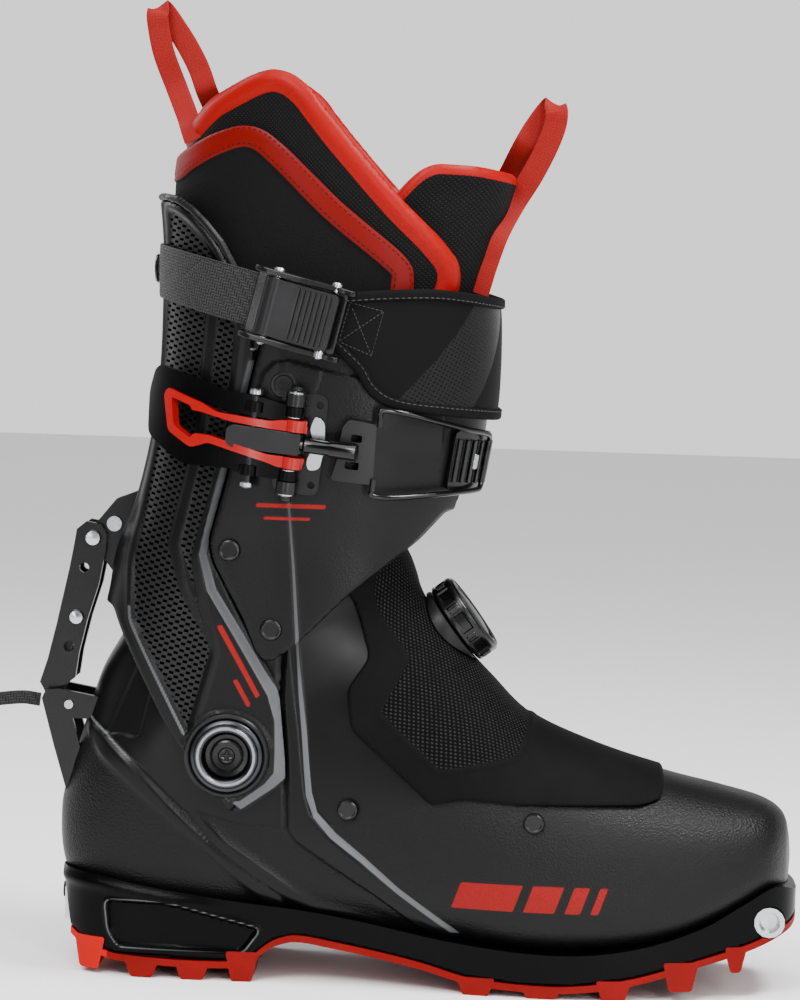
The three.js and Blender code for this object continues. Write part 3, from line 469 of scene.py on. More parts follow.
def finish(piece, body, look, nodes=()):
    """Dresses a piece and sets it on its body; with "both" it is only baked where it stands, on no body."""
    wear(piece, look)
    if body == "both":
        tuple(world((0, 0, 55)))
        tuple(world((0, 0, 105)))
        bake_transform(piece)
    else:
        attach(piece, body)
    if nodes:
        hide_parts(*nodes)


# ------------------------------------------------------------------ materials
def node(tree, kind, settings=None, **inputs):
    """A new node; an input is given by its name, or by n and its number."""
    made = tree.nodes.new(kind)
    for key, value in (settings or {}).items():
        setattr(made, key, value)
    for key, value in inputs.items():
        numbered = key[0] == "n" and key[1:].isdigit()
        socket = made.inputs[int(key[1:]) if numbered else key.replace("_", " ")]
        if isinstance(value, Signal):
            tree.links.new(value.socket, socket)
        else:
            socket.default_value = value
    return made


class Signal:
    """A node's output. Arithmetic on it adds the nodes that work it out."""

    def __init__(self, socket):
        self.socket = socket
        self.tree = socket.id_data

    def maths(self, operation, *others):
        inputs = {f"n{i}": value for i, value in enumerate((self, *others))}
        return Signal(node(self.tree, "ShaderNodeMath", {"operation": operation}, **inputs).outputs[0])

    def __add__(self, other):
        return self.maths("ADD", other)

    def __mul__(self, other):
        return self.maths("MULTIPLY", other)

    def __rsub__(self, other):
        made = node(self.tree, "ShaderNodeMath", {"operation": "SUBTRACT"}, n0=other, n1=self)
        return Signal(made.outputs[0])

    def spread(self, low, high, to_low=0.0, to_high=1.0):
        """Its values from low to high, stretched to another range and held at its ends."""
        ends = {"From_Min": low, "From_Max": high, "To_Min": to_low, "To_Max": to_high}
        return Signal(node(self.tree, "ShaderNodeMapRange", None, Value=self, **ends).outputs[0])

    def mix(self, a, b):
        """Colour a where it is 0, colour b where it is 1."""
        return Signal(node(self.tree, "ShaderNodeMix", {"data_type": "RGBA"}, n0=self, n6=a, n7=b).outputs[2])

    def wave(self):
        """A sine from 0 to 1, with one turn for each whole number."""
        return (self * (2 * math.pi)).maths("SINE").maths("MULTIPLY_ADD", 0.5, 0.5)


class Look:
    """A material and its shader."""

    def __init__(self, name, **plain):
        self.material = bpy.data.materials.new(name)
        self.material.use_nodes = True
        self.tree = self.material.node_tree
        self.shader = self.tree.nodes["Principled BSDF"]
        for socket, value in plain.items():
            self.shader.inputs[socket.replace("_", " ")].default_value = value

    def give(self, socket, signal):
        self.tree.links.new(signal.socket, self.shader.inputs[socket])

    def given(self, socket):
        return Signal(self.shader.inputs[socket].links[0].from_socket)

    def where(self):
        return Signal(node(self.tree, "ShaderNodeTexCoord").outputs["Object"])

    def noise(self, scale, detail=3.0, roughness=0.55, where=None):
        where = where or self.where()
        settings = {"Vector": where, "Scale": scale, "Detail": detail, "Roughness": roughness}
        return Signal(node(self.tree, "ShaderNodeTexNoise", None, **settings).outputs["Fac"])

    def attribute(self, name):
        return Signal(node(self.tree, "ShaderNodeAttribute", {"attribute_name": name}).outputs["Fac"])

    def zone(self, name, soft_mm=0.15):
        """1 inside a painted zone and 0 outside it, changing over a short distance."""
        half = soft_mm / ZONE_REACH
        return self.attribute(name).spread(0.5 - half, 0.5 + half)

    def threads(self, size_mm, degrees=0.0):
        """Flat fabric coordinates across and along, counted in threads of a size."""
        where = Signal(node(self.tree, "ShaderNodeUVMap").outputs[0])
        scale = 1 / (size_mm * MM)
        settings = {"Scale": (scale, scale, 1.0), "Rotation": (0.0, 0.0, math.radians(degrees))}
        placed = node(self.tree, "ShaderNodeMapping", None, Vector=where, **settings)
        parts = node(self.tree, "ShaderNodeSeparateXYZ", None, Vector=Signal(placed.outputs[0]))
        return Signal(parts.outputs[0]), Signal(parts.outputs[1])

    def cells(self, size_mm, degrees):
        u, v = self.threads(size_mm, degrees)
        return u.wave() * v.wave()

    def vary_roughness(self, low, high, scale):
        self.give("Roughness", self.noise(scale, 4.0).spread(0.3, 0.7, low, high))

    def bump(self, height, strength, distance_mm, under=None):
        settings = {"Strength": strength, "Distance": distance_mm * MM}
        made = node(self.tree, "ShaderNodeBump", None, Height=height, **settings)
        if under:
            self.tree.links.new(under.socket, made.inputs["Normal"])
        self.give("Normal", Signal(made.outputs[0]))


def shade(colour, factor):
    return (*(min(1.0, factor * c) for c in colour[:3]), 1)


BLACK = (0.0019, 0.0019, 0.002, 1)
# Painted highlight: the grey given to chamfers where they catch the light.
EDGE_HIGHLIGHT_GREY = (0.07, 0.072, 0.076, 1)
EDGE_ROUGHNESS = 0.3


def grained_plastic(name, colour=BLACK, shine=0.15):
    """Moulded plastic: pebbled where the piece's grain is 1, smooth where it is 0."""
    look = Look(name, Base_Color=colour, Specular_IOR_Level=shine)
    pebbles = node(look.tree, "ShaderNodeTexVoronoi", {"feature": "F1"}, Vector=look.where(), Scale=1150.0)
    grain = look.attribute("grain")
    look.give("Roughness", look.noise(60.0, 6.0).spread(0.3, 0.75, 0.27, 0.36) + grain * 0.1)
    haze = look.noise(9.0).spread(0.35, 0.7)
    look.give("Base Color", haze.mix(colour, (colour[0] * 1.7, colour[1] * 1.7, colour[2] * 1.75, 1)))
    height = Signal(pebbles.outputs["Distance"]) + look.noise(1500.0, 3.0, 0.5) * 0.5
    look.bump(height * grain, 0.55, 0.35)
    return look


def smooth_plastic(name, colour, low=0.22, high=0.34, grain=0.06, mottled=1.5, shine=0.2):
    look = Look(name, Base_Color=colour, Specular_IOR_Level=shine)
    look.vary_roughness(low, high, 70.0)
    look.give("Base Color", look.noise(25.0, 4.0).spread(0.3, 0.7).mix(colour, shade(colour, mottled)))
    look.bump(look.noise(1600.0, 2.0), 0.35, grain)
    return look


def metal(name, colour, low, high):
    look = Look(name, Base_Color=colour, Metallic=1.0)
    look.vary_roughness(low, high, 220.0)
    stretched = node(look.tree, "ShaderNodeMapping", None, Vector=look.where(), Scale=(900.0, 900.0, 6000.0))
    lines = look.noise(1.0, 3.0, 0.5, Signal(stretched.outputs[0]))
    look.give("Base Color", lines.spread(0.3, 0.7).mix(shade(colour, 0.8), colour))
    look.bump(lines, 0.3, 0.04)
    return look


def rubber(name, colour):
    look = Look(name, Base_Color=colour, Specular_IOR_Level=0.1)
    look.vary_roughness(0.42, 0.6, 120.0)
    look.give("Base Color", look.noise(45.0, 5.0).spread(0.35, 0.75).mix(colour, shade(colour, 0.72)))
    look.bump(look.noise(1100.0, 4.0), 0.5, 0.12)
    return look


def sole_rubber(name):
    """Red rubber, a brighter red in the piece's bright zone at the heel end."""
    look = rubber(name, (0.16, 0.0008, 0.0005, 1))
    look.give("Base Color", look.zone("bright").mix(look.given("Base Color"), (0.36, 0.0015, 0.0003, 1)))
    return look


def woven(name, colour, light, thread_mm, rough, depth, sheen=0.03):
    """Twill: threads of a given size that cross over and under on a diagonal."""
    soft = {"Sheen_Weight": sheen, "Sheen_Roughness": 0.5, "Specular_IOR_Level": 0.2}
    look = Look(name, Base_Color=colour, Roughness=rough, **soft)
    u, v = look.threads(thread_mm)
    diagonal = ((u + v) * 0.25).wave()
    over = u.wave() * diagonal.spread(0.25, 0.75)
    under = v.wave() * diagonal.spread(0.25, 0.75, 1.0, 0.0)
    height = (over + under) * 0.8 + look.noise(2500.0, 2.0) * 0.3
    look.give("Base Color", height.spread(0.2, 0.95).mix(colour, light))
    look.bump(height, 0.8, depth)
    return look


def cloth(name, colour, light, scale=1400.0, sheen=0.03):
    """Close fabric or microfibre without a visible weave."""
    look = Look(name, Base_Color=colour, Roughness=0.8, Sheen_Weight=sheen, Specular_IOR_Level=0.08)
    height = look.noise(scale, 4.0) * 0.6 + look.noise(55.0, 4.0) * 0.4
    look.give("Base Color", height.spread(0.35, 0.65).mix(colour, light))
    look.bump(height, 0.7, 0.12)
    return look


def add_marks(look):
    """Plain red print in the piece's mark zone."""
    printed = look.noise(900.0).mix((0.14, 0.0014, 0.001, 1), (0.22, 0.0025, 0.002, 1))
    look.give("Base Color", look.zone("mark").mix(look.given("Base Color"), printed))
    return look


def add_edge_highlights(look):
    """Painted highlight: a lighter grey on the moulded chamfers where the piece's edge and edge_limit zones
    meet, dimmer high up.
    """
    edge = look.zone("edge") * look.zone("edge_limit")
    height = Signal(node(look.tree, "ShaderNodeSeparateXYZ", None, Vector=look.where()).outputs[2])
    # The painted highlight fades with height, to 0.4 of its grey above 0.19 m.
    lit = height.spread(0.1, 0.19).mix(EDGE_HIGHLIGHT_GREY, shade(EDGE_HIGHLIGHT_GREY, 0.4))
    look.give("Base Color", edge.mix(look.given("Base Color"), lit))
    between = {"n0": edge, "n2": look.given("Roughness"), "n3": EDGE_ROUGHNESS}
    mixed = node(look.tree, "ShaderNodeMix", {"data_type": "FLOAT"}, **between)
    look.give("Roughness", Signal(mixed.outputs[0]))
    return look


def carbon_shell(name):
    """Black plastic with a panel of short woven dashes in the piece's weave zone."""
    look = grained_plastic(name)
    x, _, z = map(Signal, node(look.tree, "ShaderNodeSeparateXYZ", None, Vector=look.where()).outputs)
    # Dashes stand in slanting columns 2.2 mm apart, one every 2.6 mm, every other column shifted by half.
    column = (x + z * -0.2) * (1 / 0.0022)
    shift = column.maths("FLOOR").maths("FLOORED_MODULO", 2.0) * 0.5
    along = z * (1 / 0.0026) + (shift + column * 0.16)
    sideways = column.maths("FRACT").maths("SUBTRACT", 0.5).maths("ABSOLUTE")
    lengthways = along.maths("FRACT").maths("SUBTRACT", 0.5).maths("ABSOLUTE")
    dash = sideways.spread(0.38, 0.46, 1.0, 0.0) * lengthways.spread(0.17, 0.24, 1.0, 0.0)
    weave = look.zone("weave", 0.2)
    dashes = dash.mix((0.0085, 0.0085, 0.009, 1), (0.0004, 0.0004, 0.0004, 1))
    look.give("Base Color", weave.mix(look.given("Base Color"), dashes))
    hole = dash * weave
    look.give("Specular IOR Level", hole.spread(0.0, 1.0, 0.15, 0.0))
    look.bump(hole * -1.0, 0.3, 0.2, look.given("Normal"))
    return look


def zone_cloth(name, plain, light, mesh, mesh_light, cell_mm):
    """Plain cloth that turns to an open mesh of small cells inside the piece's weave zone."""
    look = Look(name, Base_Color=plain, Roughness=0.7, Specular_IOR_Level=0.05)
    fine = look.noise(1500.0)
    base = (fine * 0.5 + look.noise(40.0, 4.0) * 0.5).spread(0.35, 0.65).mix(plain, light)
    cell = look.cells(cell_mm, 32).spread(0.2, 0.7)
    weave = look.zone("weave", 0.3)
    worn = cell * look.noise(260.0, 2.0).spread(0.3, 0.7, 0.55, 1.0)
    look.give("Base Color", weave.mix(base, worn.mix(mesh, mesh_light)))
    look.bump(fine * 0.25 + cell * weave, 0.7, 0.35)
    return look


def padded_cloth(name, body, body_light, rim, rim_light, meshed=True):
    """Black cloth, an open mesh or plain, with a bright padded edge in the piece's rim zone."""
    look = Look(name, Base_Color=body, Specular_IOR_Level=0.1)
    fine = look.noise(1300.0, 4.0)
    on_rim = look.zone("rim")
    surface = look.cells(1.2, 45).spread(0.25, 0.65) if meshed else fine
    red = fine.maths("MULTIPLY_ADD", 0.6, 0.5).spread(0.3, 1.1).mix(rim, rim_light)
    look.give("Base Color", on_rim.mix(surface.mix(body, body_light), red))
    look.give("Roughness", on_rim.spread(0.0, 1.0, 0.72, 0.42))
    look.bump(surface * (1.0 - on_rim) + look.noise(70.0) * 0.7 + fine * 0.1, 0.6, 0.3)
    return look


def pad_cloth(name):
    """Dull cloth, with dotted glossy cloth in the piece's gloss zone."""
    look = Look(name, Base_Color=BLACK, Specular_IOR_Level=0.07)
    fine = look.noise(1300.0, 4.0)
    dots = look.cells(1.6, 15).spread(0.45, 0.6)
    gloss = look.zone("gloss")
    plain = fine.mix((0.001, 0.001, 0.001, 1), (0.002, 0.002, 0.0021, 1))
    look.give("Base Color", gloss.mix(plain, dots.mix((0.008, 0.008, 0.0084, 1), (0.001, 0.001, 0.001, 1))))
    look.give("Roughness", gloss.spread(0.0, 1.0, 0.62, 0.3))
    look.bump(dots * gloss * -1.0 + fine * 0.2, 0.6, 0.3)
    return look


GRAINED = add_marks(add_edge_highlights(grained_plastic("grained_black")))
SOLE_BLACK = add_edge_highlights(grained_plastic("sole_black", (0.0007, 0.0007, 0.0008, 1), 0.06))
CARBON_SHELL = add_marks(add_edge_highlights(carbon_shell("carbon_and_black")))
RUBBER_BLACK = smooth_plastic("black_rubber", (0.002, 0.002, 0.0021, 1), 0.35, 0.5, 0.1)
HARDWARE = smooth_plastic("black_anodised", (0.0016, 0.0016, 0.0018, 1), 0.2, 0.3, shine=0.28)
HARDWARE_SATIN = smooth_plastic("black_satin", (0.0055, 0.0055, 0.006, 1), 0.28, 0.4)
GLOSS_BLACK = smooth_plastic("black_gloss", (0.0009, 0.0009, 0.001, 1), 0.08, 0.16, 0.02, shine=0.3)
DEEP_BLACK = smooth_plastic("deep_black", (0.0003, 0.0003, 0.0003, 1), 0.2, 0.3, 0.02, shine=0.08)
RED_ANODISED = smooth_plastic("red_anodised", (0.22, 0.0003, 0.0003, 1), 0.14, 0.26, 0.03, 1.15, 0.3)
STEEL = metal("bright_steel", (0.5, 0.51, 0.53, 1), 0.16, 0.3)
DARK_RING = metal("dark_ring", (0.045, 0.046, 0.05, 1), 0.28, 0.4)
BRUSHED = metal("brushed_ring", (0.3, 0.305, 0.315, 1), 0.25, 0.38)
GAITER_CLOTH = zone_cloth(
    "gaiter_softshell", (0.0014, 0.0014, 0.0015, 1), (0.0032, 0.0032, 0.0034, 1), (0.0002, 0.0002, 0.0002, 1),
    (0.019, 0.019, 0.02, 1), 1.8,
)
LINER_CLOTH = padded_cloth(
    "liner_mesh", (0.0006, 0.0006, 0.0007, 1), (0.006, 0.006, 0.0063, 1), (0.15, 0.0003, 0.0001, 1),
    (0.25, 0.0008, 0.0002, 1),
)
FLAP_CLOTH = padded_cloth(
    "flap_skin", (0.001, 0.001, 0.0011, 1), (0.002, 0.002, 0.0021, 1), (0.085, 0.0011, 0.0007, 1),
    (0.13, 0.0017, 0.001, 1), False,
)
PAD_CLOTH = pad_cloth("strap_pad_cloth")
BINDING = cloth("pad_binding", (0.001, 0.001, 0.001, 1), (0.0026, 0.0026, 0.0027, 1), 900.0, 0.0)
LINING = cloth("foot_lining", (0.02, 0.02, 0.021, 1), (0.05, 0.05, 0.052, 1))
THREAD_GREY = cloth("grey_thread", (0.02, 0.02, 0.021, 1), (0.045, 0.045, 0.047, 1), 3000.0)
THREAD_DARK = cloth("dark_red_thread", (0.03, 0.001, 0.0007, 1), (0.06, 0.002, 0.0014, 1), 3000.0)
WEBBING_BLACK = woven("black_webbing", (0.0008, 0.0008, 0.0008, 1), (0.021, 0.021, 0.022, 1), 1.1, 0.6, 0.4)
WEBBING_RED = woven("red_webbing", (0.15, 0.0016, 0.0008, 1), (0.19, 0.0022, 0.0011, 1), 1.2, 0.8, 0.03, 0.0)
RUBBER_RED = sole_rubber("red_sole_rubber")


# ------------------------------------------------------------------ surfaces with relief
def even_rings(section, keys, count):
    """Rings of evenly spaced points; section(key, angles) gives a ring and both its halves get count / 2."""
    fine = np.linspace(0, 2 * math.pi, 721)
    rings = []
    for key in keys:
        ring = section(key, fine)
        along = path_lengths(ring)
        halves = [(0, along[360]), (along[360], along[720])]
        wanted = np.concatenate([np.linspace(a, b, count // 2, endpoint=False) for a, b in halves])
        rings.append(np.column_stack([np.interp(wanted, along, ring[:, k]) for k in range(3)]))
    return np.array(rings)


def relieve(rings, relief):
    """Moves the points of closed rings along the surface's own outward direction by relief(x, y, z)."""
    along = np.gradient(rings, axis=0)
    around = np.roll(rings, -1, axis=1) - np.roll(rings, 1, axis=1)
    normal = np.cross(around, along)
    normal /= np.maximum(np.linalg.norm(normal, axis=-1, keepdims=True), 1e-9)
    away = rings - rings.mean(axis=1, keepdims=True)
    if (normal * away).sum() < 0:
        normal = -normal
    x, y, z = rings[..., 0], rings[..., 1], rings[..., 2]
    return rings + normal * relief(x, y, z)[..., None]


def foot_keys(step, last=RIM):
    """Section numbers from the toe, close enough together for a step in millimetres."""
    keys = [0.0]
    for i in range(last):
        a, b = FOOT[i], FOOT[i + 1]
        far = max(math.hypot(a[0] - b[0], a[1] - b[1]), math.hypot(a[2] - b[2], a[3] - b[3]))
        count = max(2, math.ceil(far / step))
        keys += [i + (k + 1) / count for k in range(count)]
    return keys


def foot_rings(keys, count, grow=0.0):
    return even_rings(lambda key, angle: foot_points(key, angle, grow), keys, count)


def leg_rings(rows, low, high, step, count, grow=0.0):
    keys = np.linspace(low, high, max(2, math.ceil((high - low) / step)))
    return even_rings(lambda z, angle: leg_points(rows, z, angle, grow), keys, count)


# ------------------------------------------------------------------ lower shell
RIB_TOP = [
    (-63.3, 13.5), (-50.1, 5.5), (-34.2, -8.2), (-20.8, -21.4), (-4.8, -35.8), (11.1, -48.3), (24, -56.5),
]
RIB_LOW = [(22.3, -66), (-9.9, -37.3), (-33.8, -18.6), (-52, -4), (-62, 10)]
LOW_RIB_TOP = [
    (-19, -20.2), (-10.1, -24.6), (3.2, -35.2), (22, -47.5), (35.2, -57.4), (60, -62.2), (82.4, -69.2),
]
LOW_RIB_LOW = [(78, -71), (40, -66), (22, -56.5), (-4.8, -36.4)]
RIDGE_LEFT = [
    (21.6, 60), (20.4, 22.4), (22.6, -0.8), (23.6, -14), (24.2, -28.2), (27.7, -33.5), (41.4, -42.4),
    (59.1, -53.2), (75.6, -64.7), (85.5, -70.8),
]
RIDGE_RIGHT = [
    (95.2, -69.2), (90.4, -65.2), (84.9, -61.4), (68.5, -49.9), (54.8, -38.3), (43.2, -29.3), (35.6, -21.5),
    (33.2, -13.6), (32, -4.1), (30.5, 9.7), (28.6, 23.5), (26.7, 38), (26, 45.6), (26, 60),
]
RIDGE_CREST = [
    (25.2, 60), (25.2, 45.6), (25.8, 38), (27, 23.5), (28.6, 9.7), (29.9, -4.1), (31.1, -15.2),
    (34.3, -23.5), (41.2, -31.3), (53.5, -40.3), (67.2, -51.5), (82.3, -62.3), (89, -67),
]
SMOOTH_EDGE = [
    (-80, 14), (-61.6, 10), (-37.5, -8), (-17.6, -23), (-11.5, -23.6), (6.2, -28.1), (23, -28), (30, -28),
    (41.6, -26.1), (49.3, -23.9), (68.5, -19.1), (80, -16), (114.5, -2.1), (129.9, 1.1), (145.9, -12),
    (172, -8), (172, 120), (-80, 120),
]
TENDON = [(-34.4, 42.5), (-50.8, 2.8), (-45, 4.9), (-35.1, 3.3), (-31.7, 19.1), (-27, 46)]
RIB = rounded(RIB_TOP + RIB_LOW, 3)
LOW_RIB = rounded(LOW_RIB_TOP + LOW_RIB_LOW, 2)
RIDGE = RIDGE_LEFT + RIDGE_RIGHT
TENDON_PANEL = rounded(TENDON, 4)


def roofed(x, z, outline, top_line, height):
    """A rib that steps up at its top line and falls away evenly to its lower edge."""
    depth = depth_in(x, z, outline)
    from_top = line_distance(x, z, top_line)
    near_top = ramp(depth, -1.4, 2.0)
    return height * near_top * np.clip(1.15 - from_top / 16, 0, 1)


def shell_relief(x, y, z):
    side = ramp(np.abs(y), 8, 20)
    rib = roofed(x, z, RIB, RIB_TOP, 1.7)
    low_rib = roofed(x, z, LOW_RIB, LOW_RIB_TOP, 1.9) * ramp(x, -16, 0)
    depth = depth_in(x, z, RIDGE)
    to_left, to_right = line_distance(x, z, RIDGE_LEFT), line_distance(x, z, RIDGE_RIGHT)
    rise = np.where(to_left < to_right, ramp(depth, -0.9, 1.4), 1)
    ridge = 1.8 * rise * np.clip(np.maximum(depth, np.where(to_left < to_right, to_right, 0)), 0, 3.2) / 3.2
    gap = np.where(to_left < to_right, -0.5 * np.exp(-(((depth + 1.2) / 0.9) ** 2)), 0)
    panel = -0.9 * ramp(depth_in(x, z, TENDON_PANEL), 0, 1.6)
    return side * (np.maximum(np.maximum(rib, low_rib), ridge) + gap + panel)


def shell_zones(piece):
    x, y, z = places(piece).T
    outer = np.abs(y) > 7.5
    on_rib, on_low_rib, on_ridge = (ramp(depth_in(x, z, rib), -0.5, 0.5) for rib in (RIB, LOW_RIB, RIDGE))
    grain = 1 - ramp(depth_in(x, z, SMOOTH_EDGE), -0.8, 0.8)
    grain = grain * (1 - np.maximum(on_rib, on_low_rib)) * (1 - on_ridge)
    paint(piece, "grain", np.maximum(grain, ramp(x, 150, 165)))
    # Painted highlight zones: the ridge's chamfer between its crest and right edge, and a thin line along the
    # rib's top near the heel.
    crest = depth_in(x, z, RIDGE_CREST + [(300, -67), (300, 60)])
    rib_highlight = 0.45 - line_distance(x, z, RIB_TOP[:4]) - 0.65 * ramp(x, -48, -24)
    paint_zone(piece, "edge", np.where(outer, np.maximum(crest, rib_highlight), FAR_OUT))
    paint_zone(piece, "edge_limit", depth_in(x, z, RIDGE_RIGHT + [(-200, 60), (-200, -69.2)]))
    paint_marks(piece, SIDE_MARKS)


def slanted_bar(left, low, width, height, lean=0.35):
    shift, right, high = lean * height, left + width, low + height
    return [(left, low), (right, low), (right + shift, high), (left + shift, high)]


SIDE_BARS = [(89, 24), (117, 12), (133, 6), (143, 3)]
SIDE_MARKS = [slanted_bar(left, -56, width, 10.5) for left, width in SIDE_BARS]
CUFF_MARKS = [slanted_bar(9, 97.5, 27, 1.6, 0), slanted_bar(12, 92.8, 18, 1.2, 0)]
SPINE_MARKS = [
    [(-5.2, 50.5), (-3.2, 51.3), (12.4, 24), (10.8, 23)],
    [(1.6, 29.5), (3.2, 30.3), (9, 20.2), (7.5, 19.3)],
]


def paint_marks(piece, marks):
    """Plain red bars, printed on the outer side only."""
    x, y, z = places(piece).T
    depth = np.max([depth_in(x, z, mark) for mark in marks], axis=0)
    paint_zone(piece, "mark", np.where(y < -8, depth, FAR_OUT))


THROAT = [(128, -2), (148, 30), (80, 100), (40, 100), (30, 60), (66, 40), (92, 12)]
SHELL_WALL = 4


def make_lower_shell():
    shell = loft("lower_shell_body", relieve(foot_rings(foot_keys(0.85), 400), shell_relief))
    combine(shell, loft("hollow", foot_rings(foot_keys(6, RIM + 1), 80, -SHELL_WALL)))
    combine(shell, prism("throat", rounded(THROAT, 6), -23, 23))
    for _, sign in SIDES:
        boss = [(0, 33), (14, 33), (14, 39.2), (13.6, 39.6), (0, 39.6)]
        combine(shell, turned("boss", boss, AXIS, (0, sign, 0), 48), "UNION")
        combine(shell, rod(6.4, 20, 70, AXIS, (0, sign, 0), 32))
    smooth(shell, 32)
    shell_zones(shell)
    finish(shell, "shell", GRAINED, ["lower_shell"])


def turned(name, profile, at, direction, segments=40):
    """A turned piece: a profile of (radius, height) points, its axis laid along a direction at a point."""
    angles = np.arange(segments) * 2 * math.pi / segments
    closed = profile[0][0] > 0
    circle = np.column_stack([np.cos(angles), np.sin(angles), 0 * angles])
    stops = profile if closed else profile[1:-1]
    rings = np.array([circle * radius + [0, 0, height] for radius, height in stops])
    rings = rings @ turn_to(direction).T + np.array(at, float)
    if not closed:
        return loft(name, rings, 35)
    return make_solid(name, rings.reshape(-1, 3), grid_faces(len(rings), segments, True), 35)


def turn_to(direction):
    """The turn that takes up to a direction."""
    return np.array(Vector((0, 0, 1)).rotation_difference(Vector(direction).normalized()).to_matrix())


def rod(radius, low, high, at, direction, segments):
    return turned("rod", [(0, low), (radius, low), (radius, high), (0, high)], at, direction, segments)


# ------------------------------------------------------------------ cuff
REAR_CUFF = [
    (-75, 214.5), (-31, 214.5), (-26, 213), (-20.5, 209.6), (-14.6, 204), (-8.6, 197.4), (-3, 188),
    (9, 162), (6.8, 154), (0, 123), (-3.4, 109), (-9.6, 84), (-8.2, 76), (4.2, 53.4), (19.4, 26.7),
    (22.5, -0.3), (23, -10), (7, -22), (1.5, -22), (-4.2, -13), (-11.4, -7), (-25.6, 13.7), (-42, 44),
    (-48, 56), (-75, 56),
]
FRONT_CUFF = [
    (9.9, 162.6), (16, 171), (50, 171), (120, 166), (120, 97), (82, 97), (71.6, 85.5), (45.7, 64.4),
    (26.8, 45.1), (19.6, 39.9), (16.9, 37.4), (13.4, 38), (10.5, 41), (5.1, 53.8), (-7.3, 76.2),
    (-8.7, 84), (-2.5, 108.9), (0.9, 122.9), (7.7, 153.9),
]
SPOILER = [
    (-75, 214.7), (-31, 214.7), (-25.9, 213.2), (-20.4, 209.8), (-14.5, 204.2), (-8.5, 197.6), (-3, 188.3),
    (-0.4, 189.4), (-6.2, 199.3), (-12.7, 206.5), (-19, 212.2), (-25.2, 216), (-31.5, 217.4), (-75, 217.4),
]
SPINE_EDGE = [
    (7.5, 154), (0.1, 123.2), (-7.4, 91.9), (-10.1, 78.3), (-5.8, 64.8), (4.4, 48.9), (13.4, 34.4),
    (18.7, 26.8), (22.1, 15.3), (22.6, 1.8), (23, -8), (18.7, -12), (6, -21),
]
SPINE_CREST = [
    (4.6, 154), (-2.6, 123.1), (-10.1, 91.8), (-12.8, 78.2), (-9.2, 63.9), (2.2, 45.7), (10.8, 31.6),
    (15.3, 24), (18.3, 14.4), (18.7, 2.8), (18.6, -6), (15, -10.5), (5.5, -17.6), (1, -17.6), (-7, -9.6),
]
CARBON = [
    (-31, 211.4), (-31.4, 176.2), (-33.6, 121.7), (-40.6, 74.7), (-39.1, 51.4), (-16, 8.2), (-14.5, 10.2),
    (-6.1, 40.8), (-12.2, 60.1), (-14.7, 77.5), (-11.2, 91.2), (-3.2, 120.7), (0.1, 165.5), (-5.5, 184),
    (-10.8, 195.4), (-16, 201.8), (-21.4, 207), (-27, 210.6),
]
CARBON_PANEL = rounded(CARBON, 2.5)
CARBON_STRIP = [(-9, 190), (-14.3, 122.6), (-20.4, 95.3), (-23.1, 81.6), (-17.5, 64.3), (-6.4, 45.3)]
SPINE_BAND = np.vstack([SPINE_EDGE, SPINE_CREST[::-1]])
CUFF_WALL = 3
CHEEK_RADIUS = 15.5


def cuff_wall(name, relief, low, high, outline, corner=2.5):
    """A piece of the cuff: its relieved outer surface, hollowed, and cut to a side-view outline."""
    body = loft(name, relieve(leg_rings(CUFF, low, high, 0.85, 420), relief))
    combine(body, loft("hollow", leg_rings(CUFF, low - 1, high + 1, 6, 90, -CUFF_WALL)))
    combine(body, prism("outline", rounded(outline, corner)), "INTERSECT")
    smooth(body, 32)
    return body


def rear_cuff_relief(x, y, z):
    side = ramp(np.abs(y), 10, 22)
    outline = rounded(REAR_CUFF, 2.5)
    fall = edge_drop(np.maximum(depth_in(x, z, outline), 0), 1.0)
    crest = depth_in(x, z, SPINE_BAND)
    to_edge = line_distance(x, z, SPINE_EDGE)
    to_crest = line_distance(x, z, SPINE_CREST)
    beyond = np.where(to_edge < to_crest, 1.0, 0.0)
    slope = -1.9 * np.where(crest > 0, to_crest / np.maximum(to_edge + to_crest, 0.1), beyond)
    panel = depth_in(x, z, CARBON_PANEL)
    recess = -1.1 * ramp(panel, 0, 1.4)
    border = 0.5 * np.exp(-(((panel + 1.2) / 1.1) ** 2))
    strip = line_distance(x, z, CARBON_STRIP)
    rise = np.where(panel > 1.5, 0.55 * ramp(2.6 - strip, 0, 0.9), 0)
    round_pivot = np.hypot(x, z)
    dish = -1.5 * ramp(CHEEK_RADIUS - round_pivot, 0, 0.8) + 0.7 * np.exp(-(((round_pivot - 17) / 0.9) ** 2))
    spine = np.where(x < -20, 0.9 * np.exp(-(((np.abs(y) - 13) / 1.6) ** 2)), 0) * ramp(z, 60, 75)
    return side * (slope + recess + border + rise + dish) - fall + spine


def rear_cuff_zones(piece):
    x, y, z = places(piece).T
    outer = np.abs(y) > 16
    panel = depth_in(x, z, CARBON_PANEL)
    strip_depth = line_distance(x, z, CARBON_STRIP)
    paint_zone(piece, "weave", np.where(outer, np.minimum(panel - 1.4, strip_depth - 2.6), FAR_OUT))
    # Painted highlight zones: a thin line along the carbon panel's lower rear border, and the spine's front
    # chamfer.
    rim = np.where((x < -16) & (z < 57), 0.6 - np.abs(panel + 0.9), FAR_OUT)
    crest = depth_in(x, z, SPINE_BAND)
    paint_zone(piece, "edge", np.where(outer, np.maximum(crest, rim), FAR_OUT))
    paint_zone(piece, "edge_limit", FAR_IN)
    paint(piece, "grain", 0.25)
    paint_marks(piece, SPINE_MARKS)


def ahead_of_ridge(x, z):
    ridge_x, ridge_z = np.array(RIDGE_LINE[::-1]).T
    return x - np.interp(z, ridge_z, ridge_x)


